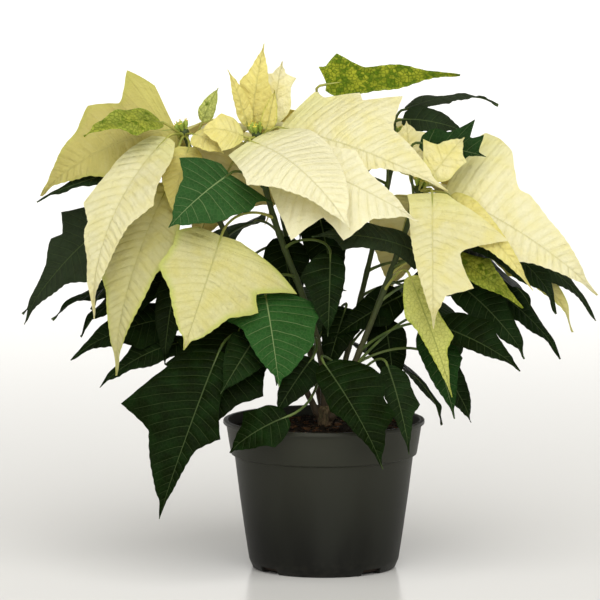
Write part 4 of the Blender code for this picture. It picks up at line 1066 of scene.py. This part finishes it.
def build_soil(materials):
    """The soil's heaped top, with peat crumbs and chips of bark on it."""
    slope = (BAND_TOP_RADIUS - BAND_FOOT_RADIUS) / (LIP_Z - BAND_FOOT_Z)
    edge = BAND_FOOT_RADIUS - WALL + slope * (SOIL_EDGE_TOP - BAND_FOOT_Z - 1.0) - 0.2

    def heap(radius):
        """The height of the smooth heap."""
        return float(np.interp(radius, [0.0, 20.0, 42.0, 62.0, edge], [
            SOIL_TOP, SOIL_TOP, SOIL_TOP - 1.6, SOIL_EDGE_TOP + 0.8, SOIL_EDGE_TOP]))

    profile = [(0.0, FLOOR + GAP), (BASE_RADIUS - 1.8, FLOOR + GAP),
               (BODY_FOOT_RADIUS - WALL - 0.6, CHAMFER_Z + 1.0),
               (BODY_TOP_RADIUS - WALL - 0.6, BAND_FOOT_Z + 0.1), (edge, SOIL_EDGE_TOP)]
    for i in range(1, SOIL_RINGS + 1):
        radius = edge * (1.0 - i / SOIL_RINGS)
        profile.append((radius, heap(radius)))
    bed = upright("soil_bed", profile, SOIL_SIDES)
    for vert in bed.data.vertices:
        x, y, z = vert.co / MM
        if z > SOIL_EDGE_TOP - 0.5 and math.hypot(x, y) < edge - 0.5:
            vert.co.z += lumps(x, y) * MM
    for name in ("potting_soil", "bark_chip"):
        bed.data.materials.append(materials[name])
    rng = random.Random(SOIL_SEED)
    bits = []
    for i in range(CRUMBS):
        radius, angle = (edge - 3.0) * math.sqrt(rng.random()), rng.uniform(0.0, 2.0 * math.pi)
        if radius < 8.0:
            continue
        chip = i % 3 == 0
        deselect()
        if chip:
            bpy.ops.mesh.primitive_cube_add(size=1.0)
            size = Vector((rng.uniform(3.0, 9.0), rng.uniform(1.6, 4.0), rng.uniform(0.6, 1.5)))
        else:
            bpy.ops.mesh.primitive_ico_sphere_add(subdivisions=2, radius=0.6)
            size = Vector((1.0, 1.0, 0.8)) * rng.uniform(1.0, 3.4)
        bit = bpy.context.object
        x, y = radius * math.cos(angle), radius * math.sin(angle)
        tilt = Matrix.Rotation(rng.uniform(0.0, 6.28), 3, "Z") \
            @ Matrix.Rotation(rng.uniform(-0.5, 0.5), 3, "X") \
            @ Matrix.Rotation(rng.uniform(-0.35, 0.35), 3, "Y")
        middle = Vector((x, y, heap(radius) + lumps(x, y) + size.z * 0.25))
        for vert in bit.data.vertices:
            ragged = 1.0 + 0.28 * noise.noise(vert.co * 2.3 + Vector((i, 0.0, 0.0)))
            vert.co = (middle + tilt @ (vert.co * size) * ragged) * MM
        bit.data.materials.append(materials["bark_chip" if chip else "potting_soil"])
        bits.append(bit)
    piece = joined("soil_top", [bed] + bits)
    soften(piece, 38.0)
    return piece


def build_flowers(branch, materials):
    """The small flower buds in a head: green cups, yellow glands and short stamens."""
    rng = random.Random(BUD_SEED + ord(branch.key))
    low = branch.head + branch.lean * BUD_RISE
    side = branch.lean.orthogonal().normalized()
    across = branch.lean.cross(side)
    parts = []

    def around(turn):
        """The direction square to the head's lean at an angle."""
        return side * math.cos(turn) + across * math.sin(turn)

    def finished(part, name):
        part.data.materials.append(materials[name])
        parts.append(part)

    for i in range(BUDS):
        spin = math.radians(i * 360.0 / (BUDS - 1) + rng.uniform(-8, 8))
        out = around(spin) * (0.0 if i == BUDS - 1 else 3.5)
        lean = (branch.lean + out * 0.10).normalized()
        foot = low + branch.lean * 1.0 + out
        tall = rng.uniform(4.8, 6.2)
        points = np.array([foot + lean * tall * rise for rise, _ in CUP_PROFILE])
        first = np.array(lean.orthogonal().normalized())
        radii = [radius for _, radius in CUP_PROFILE]
        cup = rolled("bud_cup", points, first, np.cross(lean, first), radii, CUP_SIDES)
        finished(cup, "flower_bud")
        for turn in (-0.5, 0.9):
            way = around(spin + turn)
            centre = foot + lean * tall * 0.86 + way * 1.25
            cross = lean.cross(way)
            deselect()
            bpy.ops.mesh.primitive_uv_sphere_add(segments=10, ring_count=6, radius=1.0)
            gland = bpy.context.object
            for vert in gland.data.vertices:
                x, y, z = vert.co
                dent = 0.35 * max(0.0, z) * (1.0 - min(1.0, x * x + y * y))
                vert.co = (centre + way * x * 0.75 + cross * y * 1.15 + lean * (z - dent) * 0.55) * MM
            finished(gland, "gland")
        for _ in range(4):
            way = around(rng.uniform(0.0, 6.28))
            start = foot + lean * tall * 0.85 + way * 0.25
            points = np.array([start + lean * rise * 2.1 + way * rise * 0.5
                               for rise, _ in STAMEN_PROFILE])
            radii = [radius for _, radius in STAMEN_PROFILE]
            finished(rolled("stamen", points, side, across, radii, STAMEN_SIDES), "gland")
    piece = joined("flowers_" + branch.key, parts)
    weld(piece)
    soften(piece)
    return piece


# Materials

class Recipe:
    """Sets out the nodes of a material or of a shared effect."""

    def __init__(self, tree):
        self.tree = tree

    def feed(self, socket, value):
        if isinstance(value, bpy.types.NodeSocket):
            self.tree.links.new(value, socket)
        elif isinstance(value, tuple) and socket.type == "RGBA":
            socket.default_value = (*value, 1.0)
        else:
            socket.default_value = value

    def add(self, kind, inputs=None, **settings):
        made = self.tree.nodes.new(kind)
        for name, value in settings.items():
            setattr(made, name, value)
        for name, value in (inputs or {}).items():
            self.feed(made.inputs[name], value)
        return made

    def maths(self, operation, first, second=0.0, third=0.0, clamp=False):
        made = self.add("ShaderNodeMath", {0: first, 1: second, 2: third}, operation=operation,
                        use_clamp=clamp)
        return made.outputs[0]

    def times(self, first, second):
        return self.maths("MULTIPLY", first, second)

    def plus(self, first, second):
        return self.maths("ADD", first, second)

    def most(self, first, *others):
        for other in others:
            first = self.maths("MAXIMUM", first, other)
        return first

    def blend(self, share, first, second):
        made = self.add("ShaderNodeMix", {0: share, 6: first, 7: second}, data_type="RGBA")
        return made.outputs[2]

    def coats(self, colour, *coats):
        """Lays colours over one another, each by its own mask."""
        for share, coat in coats:
            colour = self.blend(share, colour, coat)
        return colour

    def ramp(self, value, low, high, start=0.0, end=1.0):
        made = self.add("ShaderNodeMapRange", {"Value": value, "From Min": low, "From Max": high,
                                               "To Min": start, "To Max": end},
                        interpolation_type="SMOOTHSTEP")
        return made.outputs[0]

    def noise(self, vector, scale, detail=2.0, rough=0.5):
        made = self.add("ShaderNodeTexNoise", {"Vector": vector, "Scale": scale, "Detail": detail,
                                               "Roughness": rough})
        return made.outputs["Fac"]

    def split(self, vector):
        return self.add("ShaderNodeSeparateXYZ", {0: vector}).outputs

    def place(self, label="Object"):
        return self.add("ShaderNodeTexCoord").outputs[label]

    def scaled(self, vector, scale):
        return self.add("ShaderNodeMapping", {"Vector": vector, "Scale": scale}).outputs[0]

    def shared(self, group, inputs):
        return self.add("ShaderNodeGroup", inputs, node_tree=group).outputs


def effect(name, inputs, outputs):
    """An empty shared effect, with its recipe and its ends."""
    tree = bpy.data.node_groups.new(name, "ShaderNodeTree")
    for way, sockets in (("INPUT", inputs), ("OUTPUT", outputs)):
        for label, kind in sockets.items():
            tree.interface.new_socket(name=label, in_out=way, socket_type="NodeSocket" + kind)
    recipe = Recipe(tree)
    return recipe, recipe.add("NodeGroupInput").outputs, recipe.add("NodeGroupOutput").inputs


def make_vein_effect():
    """Midrib, side veins and the net between them, from a blade's two maps."""
    recipe, given, result = effect(
        "leaf_veins", {"Vein map": "Vector", "Flat map": "Vector", "Along": "Float"},
        dict.fromkeys(("Midrib", "Side veins", "Net", "Cells", "Valleys"), "Float"))
    veins, flat = recipe.split(given["Vein map"]), recipe.split(given["Flat map"])
    wander = recipe.maths("MULTIPLY_ADD", recipe.noise(given["Flat map"], 0.9), 0.16, -0.08)
    place = recipe.maths("FRACT", recipe.plus(recipe.plus(veins["X"], wander), 0.5))
    off = recipe.maths("ABSOLUTE", recipe.maths("SUBTRACT", place, 0.5))
    out = recipe.maths("ABSOLUTE", veins["Y"])
    width = recipe.maths("MULTIPLY_ADD", out, -0.020, 0.046)
    side = recipe.ramp(recipe.maths("DIVIDE", off, width), 1.0, 0.35)
    thick = recipe.maths("MULTIPLY_ADD", given["Along"], -0.075, 0.100)
    away = recipe.maths("ABSOLUTE", flat["Y"])
    edges, spots = (recipe.add("ShaderNodeTexVoronoi", {"Vector": given["Flat map"], "Scale": 3.1},
                               voronoi_dimensions="2D", feature=feature).outputs
                    for feature in ("DISTANCE_TO_EDGE", "F1"))
    masks = {
        "Midrib": recipe.ramp(recipe.maths("DIVIDE", away, thick), 1.0, 0.45),
        "Side veins": recipe.times(side, recipe.ramp(out, 1.0, 0.82)),
        "Net": recipe.ramp(edges["Distance"], 0.10, 0.02),
        "Cells": recipe.split(spots["Color"])["X"],
        "Valleys": recipe.times(recipe.ramp(off, 0.34, 0.02), recipe.ramp(out, 1.0, 0.75)),
    }
    for label, mask in masks.items():
        recipe.feed(result[label], mask)
    return recipe.tree


def make_grain_effect():
    """Fine speckle at two sizes, for bark, soil and moulded plastic."""
    recipe, given, result = effect("fine_grain", {"Place": "Vector", "Size": "Float"},
                                   {"Speckle": "Float", "Blotch": "Float"})
    coarse = recipe.times(given["Size"], 0.12)
    recipe.feed(result["Speckle"], recipe.noise(given["Place"], given["Size"], 4.0, 0.65))
    recipe.feed(result["Blotch"], recipe.noise(given["Place"], coarse, 3.0, 0.55))
    return recipe.tree


def new_material(name):
    made = bpy.data.materials.new(name)
    made.use_nodes = True
    made.node_tree.nodes.clear()
    return made, Recipe(made.node_tree)


def finish_material(recipe, colour, rough, height, depth, gloss, through=None, through_share=0.0):
    """The shader of a material, with a share of light that comes through where it is thin."""
    bump = recipe.add("ShaderNodeBump", {"Strength": 1.0, "Distance": depth, "Height": height})
    surface = recipe.add("ShaderNodeBsdfPrincipled", {
        "Base Color": colour, "Roughness": rough, "Specular IOR Level": gloss,
        "Normal": bump.outputs[0]}).outputs[0]
    if through is not None:
        glow = recipe.add("ShaderNodeBsdfTranslucent", {"Color": through})
        surface = recipe.add("ShaderNodeMixShader", {0: through_share, 1: surface,
                                                     2: glow.outputs[0]}).outputs[0]
    recipe.add("ShaderNodeOutputMaterial", {"Surface": surface})


def blade_maps(recipe, veins):
    """What every blade's material reads: its two maps, its four tints and its vein masks."""
    flat_map, vein_map = (recipe.add("ShaderNodeUVMap", uv_map=label).outputs[0]
                          for label in ("flat", "veins"))
    tints = recipe.add("ShaderNodeAttribute", attribute_name="tints",
                       attribute_type="GEOMETRY").outputs
    split = recipe.add("ShaderNodeSeparateColor", {0: tints["Color"]}).outputs
    painted_light, green, along = (split[label] for label in ("Red", "Green", "Blue"))
    masks = recipe.shared(veins, {"Vein map": vein_map, "Flat map": flat_map, "Along": along})
    return flat_map, vein_map, (painted_light, green, along, tints["Alpha"]), masks


def make_bract(name, veins, back):
    """Cream, yellower or greener by its tints, with green patches where it is half a leaf, and painted
    shade.
    """
    made, recipe = new_material(name)
    flat_map, vein_map, (painted_light, green, along, warm), masks = blade_maps(recipe, veins)
    pale, rich, deep = ((0.92, 0.86, 0.46), (0.87, 0.76, 0.26), (0.62, 0.52, 0.12)) if back \
        else ((0.97, 0.94, 0.68), (0.93, 0.86, 0.30), (0.60, 0.53, 0.12))
    sign = 1.0 if back else -1.0
    cloud = recipe.noise(flat_map, 0.55, 3.0)
    streak = recipe.noise(recipe.scaled(vein_map, (2.6, 0.7, 1.0)), 1.5, 3.0)
    share = recipe.plus(warm, recipe.ramp(cloud, 0.35, 0.75, -0.12, 0.20))
    lime = recipe.coats((0.20, 0.26, 0.003), (recipe.ramp(cloud, 0.25, 0.75), (0.48, 0.50, 0.025)),
                        (recipe.ramp(green, 0.70, 0.40), (0.60, 0.66, 0.14)))
    rim = recipe.ramp(recipe.maths("ABSOLUTE", recipe.split(vein_map)["Y"]), 0.78, 1.0)
    patch = recipe.plus(recipe.times(masks["Cells"], 0.22), recipe.noise(flat_map, 1.0, 5.0, 0.65))
    limit = recipe.maths("MULTIPLY_ADD", green, -0.50, 0.99)
    mottle = recipe.times(recipe.ramp(recipe.maths("SUBTRACT", patch, limit), -0.05, 0.14),
                          recipe.ramp(green, 0.06, 0.25))
    leafy = recipe.blend(recipe.noise(flat_map, 2.5, 2.0), (0.045, 0.12, 0.004), (0.14, 0.23, 0.008))
    net = recipe.times(masks["Net"], recipe.ramp(green, 0.0, 0.8, 0.07, 0.60))
    lines = recipe.most(recipe.times(masks["Side veins"], 0.16), recipe.times(masks["Midrib"], 0.42), net)
    lined = recipe.blend(recipe.ramp(green, 0.05, 0.25), (0.76, 0.70, 0.24), (0.07, 0.14, 0.01))
    colour = recipe.coats(
        pale,
        (recipe.ramp(share, 0.0, 1.0), rich),
        # The deep colour: real deep yellow on some bracts, painted shade on those that hang in shade
        (recipe.ramp(share, 1.0, 2.0), deep),
        (recipe.times(recipe.ramp(streak, 0.45, 0.8), 0.25), (0.88, 0.83, 0.52)),
        # Painted shade in the valleys between the side veins
        (recipe.times(masks["Valleys"], 0.12), (0.84, 0.76, 0.22)),
        # Painted shade: a darker, greener cream over the bracts that hang in shade
        (recipe.times(painted_light, 0.75), (0.46, 0.45, 0.19)),
        (recipe.ramp(along, 0.22, 0.0, 0.0, 0.40), (0.74, 0.76, 0.22)),
        (recipe.ramp(green, 0.10, 0.50, 0.0, 0.95), lime),
        (recipe.times(rim, recipe.ramp(green, 0.02, 0.14, 0.0, 0.6)), (0.50, 0.60, 0.08)),
        (recipe.times(mottle, 0.88), leafy),
        (lines, lined))
    grown = recipe.plus(recipe.times(lines, 0.8 * sign), recipe.times(masks["Valleys"], 0.25 * sign))
    crumpled = recipe.plus(recipe.times(recipe.noise(flat_map, 1.7, 5.0, 0.6), 2.0), streak)
    through = recipe.coats((0.96, 0.90, 0.48), (recipe.ramp(share, 0.0, 1.2), (0.90, 0.74, 0.10)),
                           (recipe.ramp(green, 0.1, 0.6), (0.40, 0.50, 0.015)))
    finish_material(recipe, colour, recipe.ramp(cloud, 0.2, 0.8, 0.46, 0.60),
                    recipe.plus(grown, crumpled), 0.0013, 0.10, through, 0.32)
    return made


def make_leaf(name, veins, back):
    """Dark green, lighter by its tints partly as painted light, with painted sheen, and pale veins where
    it is light.
    """
    made, recipe = new_material(name)
    flat_map, _, (painted_light, _, _, warm), masks = blade_maps(recipe, veins)
    deep, light = ((0.022, 0.045, 0.014), (0.09, 0.16, 0.035)) if back \
        else ((0.0035, 0.0080, 0.0008), (0.034, 0.128, 0.026))
    cloud = recipe.noise(flat_map, 0.6, 3.0)
    share = recipe.maths("ADD", recipe.times(warm, 0.95), recipe.ramp(cloud, 0.3, 0.8, -0.05, 0.06),
                         clamp=True)
    lines = recipe.most(recipe.times(masks["Side veins"], 0.50), recipe.times(masks["Midrib"], 0.70),
                        recipe.times(masks["Net"], 0.07))
    colour = recipe.coats(
        deep,
        # Lighter green by the leaf's tint: partly its own green, partly painted light on leaves the light
        # reaches
        (share, light),
        # Painted sheen: a grey-blue cast for the gloss that the light leaves on some leaves
        (recipe.times(painted_light, 0.8), (0.046, 0.060, 0.034)),
        (recipe.times(masks["Cells"], 0.20), (0.003, 0.008, 0.001)),
        (lines, recipe.blend(warm, (0.055, 0.082, 0.028), (0.36, 0.48, 0.20))))
    rough = recipe.ramp(cloud, 0.2, 0.8, 0.50 if back else 0.34, 0.62 if back else 0.46)
    grown = recipe.times(recipe.plus(lines, recipe.times(masks["Valleys"], 0.5)), 1.0 if back else -1.0)
    relief = recipe.plus(grown, recipe.times(recipe.noise(flat_map, 3.0, 4.0), 0.9))
    through = recipe.blend(warm, (0.008, 0.022, 0.001), (0.06, 0.20, 0.01))
    finish_material(recipe, colour, rough, relief, 0.0007, 0.02, through, 0.06)
    return made


def make_stalk(name, pale, rich):
    """A smooth green skin with a slow change of tint."""
    made, recipe = new_material(name)
    place = recipe.place()
    blotch = recipe.noise(place, 90.0, 3.0)
    finish_material(recipe, recipe.blend(recipe.ramp(blotch, 0.3, 0.7), pale, rich),
                    recipe.ramp(blotch, 0.2, 0.8, 0.40, 0.55), recipe.noise(place, 900.0, 2.0),
                    0.0002, 0.4)
    return made


def make_grained(name, grain, size, paint, rough, depth, gloss, tall=1.0):
    """A material with the shared grain all over. tall draws the grain out upwards."""
    made, recipe = new_material(name)
    place = recipe.place()
    drawn = recipe.scaled(place, (1.0, 1.0, tall)) if tall != 1.0 else place
    speckle, blotch = recipe.shared(grain, {"Place": drawn, "Size": size})
    finish_material(recipe, paint(recipe, place, speckle, blotch),
                    recipe.ramp(speckle, 0.3, 0.7, *rough), speckle, depth, gloss)
    return made


def branch_paint(recipe, place, speckle, blotch):
    """Woody below, fresh green above."""
    height = recipe.plus(recipe.split(place)["Z"], recipe.times(blotch, 0.05))
    fresh = recipe.blend(blotch, (0.020, 0.036, 0.006), (0.055, 0.078, 0.014))
    wood = recipe.blend(speckle, (0.028, 0.019, 0.010), (0.10, 0.068, 0.034))
    return recipe.blend(recipe.ramp(height, 0.27, 0.15), fresh, wood)


def trunk_paint(recipe, place, speckle, blotch):
    """Brown bark with a little green on it."""
    return recipe.coats((0.045, 0.028, 0.015),
                        (recipe.ramp(speckle, 0.35, 0.65), (0.19, 0.13, 0.07)),
                        (recipe.ramp(blotch, 0.5, 0.75, 0.0, 0.5), (0.12, 0.14, 0.05)))


def earth_paint(dark, light):
    """Two shades of peat or of bark chips."""
    def paint(recipe, place, speckle, blotch):
        return recipe.coats(dark, (recipe.ramp(speckle, 0.35, 0.70), light),
                            (recipe.ramp(blotch, 0.45, 0.7, 0.0, 0.6), dark))
    return paint


def bud_paint(recipe, place, speckle, blotch):
    return recipe.blend(blotch, (0.16, 0.28, 0.03), (0.42, 0.48, 0.07))


def gland_paint(recipe, place, speckle, blotch):
    return recipe.blend(speckle, (0.80, 0.60, 0.05), (0.90, 0.78, 0.16))


def make_pot_plastic(name, grain):
    """Moulded plastic, darker towards its foot as painted shade, with flow marks and a little dust."""
    made, recipe = new_material(name)
    place = recipe.place()
    speckle, blotch = recipe.shared(grain, {"Place": place, "Size": 1500.0})
    flow = recipe.noise(recipe.scaled(place, (1.0, 1.0, 0.25)), 26.0, 3.0)
    height = recipe.split(place)["Z"]
    dust = recipe.times(recipe.ramp(height, 0.020, 0.0), recipe.ramp(blotch, 0.4, 0.7))
    # Painted shade: the plastic darkens from its band down to its foot
    colour = recipe.coats((0.002, 0.0022, 0.0012),
                          (recipe.ramp(height, 0.0, 0.13), (0.027, 0.028, 0.019)),
                          (recipe.ramp(flow, 0.3, 0.7, 0.0, 0.25), (0.030, 0.032, 0.024)),
                          (recipe.times(dust, 0.08), (0.09, 0.08, 0.06)))
    rough = recipe.plus(recipe.ramp(flow, 0.25, 0.75, 0.40, 0.47),
                        recipe.ramp(speckle, 0.3, 0.7, -0.02, 0.04))
    finish_material(recipe, colour, rough, speckle, 0.00012, 0.15)
    return made


def make_materials():
    veins, grain = make_vein_effect(), make_grain_effect()
    peat = earth_paint((0.007, 0.005, 0.003), (0.035, 0.022, 0.013))
    chips = earth_paint((0.035, 0.016, 0.007), (0.17, 0.075, 0.025))
    return {name: make(name, *values) for name, make, *values in [
        ("bract_face", make_bract, veins, False),
        ("bract_back", make_bract, veins, True),
        ("leaf_face", make_leaf, veins, False),
        ("leaf_back", make_leaf, veins, True),
        ("bract_stalk", make_stalk, (0.24, 0.27, 0.04), (0.46, 0.44, 0.10)),
        ("leaf_stalk", make_stalk, (0.035, 0.065, 0.010), (0.10, 0.14, 0.025)),
        ("branch_bark", make_grained, grain, 700.0, branch_paint, (0.5, 0.75), 0.0005, 0.35),
        ("trunk_bark", make_grained, grain, 650.0, trunk_paint, (0.65, 0.9), 0.0012, 0.25, 0.35),
        ("potting_soil", make_grained, grain, 800.0, peat, (0.8, 0.95), 0.0010, 0.2),
        ("bark_chip", make_grained, grain, 800.0, chips, (0.6, 0.95), 0.0010, 0.2),
        ("pot_plastic", make_pot_plastic, grain),
        ("flower_bud", make_grained, grain, 1400.0, bud_paint, (0.4, 0.55), 0.0002, 0.4),
        ("gland", make_grained, grain, 1800.0, gland_paint, (0.25, 0.4), 0.0001, 0.5),
    ]}


# Studio

def hang(name, data):
    """Puts a lamp or a camera into the scene."""
    made = bpy.data.objects.new(name, data)
    bpy.context.scene.collection.objects.link(made)
    return made


def build_studio():
    """A pale floor that glows as painted light the farther it lies, a broad soft light from above and the
    front, and the camera.
    """
    deselect()
    bpy.ops.mesh.primitive_plane_add(size=60.0, location=(0.0, 0.0, -0.0002))
    floor = bpy.context.object
    floor.name = floor.data.name = "studio_floor"
    made, recipe = new_material("floor_paper")
    place = recipe.place()
    cloud = recipe.noise(place, 0.8, 2.0)
    away = recipe.add("ShaderNodeVectorMath", {0: place}, operation="LENGTH").outputs["Value"]
    shader = recipe.add("ShaderNodeBsdfPrincipled", {
        "Base Color": recipe.blend(cloud, (0.92, 0.905, 0.865), (0.93, 0.915, 0.88)),
        "Roughness": recipe.ramp(cloud, 0.0, 1.0, 0.18, 0.22),
        # Painted light: the floor glows more the farther it lies from the pot, white far off and darker
        # near it
        "Emission Color": recipe.blend(recipe.ramp(away, 0.5, 2.4), (0.0, 0.0, 0.0), (1.0, 1.0, 1.0)),
        "Emission Strength": 0.30})
    recipe.add("ShaderNodeOutputMaterial", {"Surface": shader.outputs[0]})
    floor.data.materials.append(made)

    world = bpy.data.worlds.new("studio_air")
    world.use_nodes = True
    world.node_tree.nodes.clear()
    air = Recipe(world.node_tree)
    height = air.split(air.place("Generated"))["Z"]
    glow = air.blend(air.ramp(height, 0.30, 0.04), (0.23, 0.222, 0.20), (1.25, 1.245, 1.23))
    sky = air.add("ShaderNodeBackground", {"Color": glow})
    air.add("ShaderNodeOutputWorld", {"Surface": sky.outputs[0]})
    scene = bpy.context.scene
    scene.world = world

    for name, energy, spread, direction in (("soft_top", 2.15, 66.0, (-0.06, 0.70, -1.0)),
                                            ("soft_front", 1.05, 56.0, (-0.10, 2.10, -1.0))):
        lamp = bpy.data.lights.new(name, "SUN")
        lamp.energy = energy
        lamp.angle = math.radians(spread)
        hang(name, lamp).rotation_euler = Vector(direction).to_track_quat("-Z", "Y").to_euler()

    camera = bpy.data.cameras.new("front_view")
    camera.sensor_width = 36.0
    camera.lens = 36.0 * VIEW_DISTANCE / VIEW_WIDTH
    camera.clip_end = 100.0
    scene.camera = hang("front_view", camera)
    back = Vector((0.0, -math.cos(VIEW_RISE), math.sin(VIEW_RISE)))
    middle = Vector((VIEW_SHIFT, 0.0, VIEW_MIDDLE))
    scene.camera.location = (middle + back * VIEW_DISTANCE) * MM
    scene.camera.rotation_euler = (-back).to_track_quat("-Z", "Y").to_euler()
    scene.view_settings.view_transform = "Standard"


def stand_for(piece, slot, *nodes):
    """Hands a piece over: what it rides on and the solids it stands for. Its finish, slot, is not used.
    """
    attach(piece, "root")
    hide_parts(*nodes)


def main():
    materials = make_materials()
    branches, blades = grow()
    for key, branch in branches.items():
        leafy, showy = "foliage_" + key, "bracts_" + key
        stand_for(leafage("leaves_" + key, blades[leafy], "leaf", materials), "green_leaf", leafy)
        stand_for(build_branch(branch, blades[leafy], materials), "trunk_bark", leafy)
        stand_for(leafage("bract_star_" + key, blades[showy], "bract", materials), "cream_bract", showy)
        stand_for(build_flowers(branch, materials), "flower_bud", "buds_" + key)
    stand_for(build_trunk(materials), "trunk_bark", "trunk")
    stand_for(build_soil(materials), "potting_soil", "soil")
    stand_for(build_pot(materials), "pot_plastic", "pot")
    build_studio()


main()
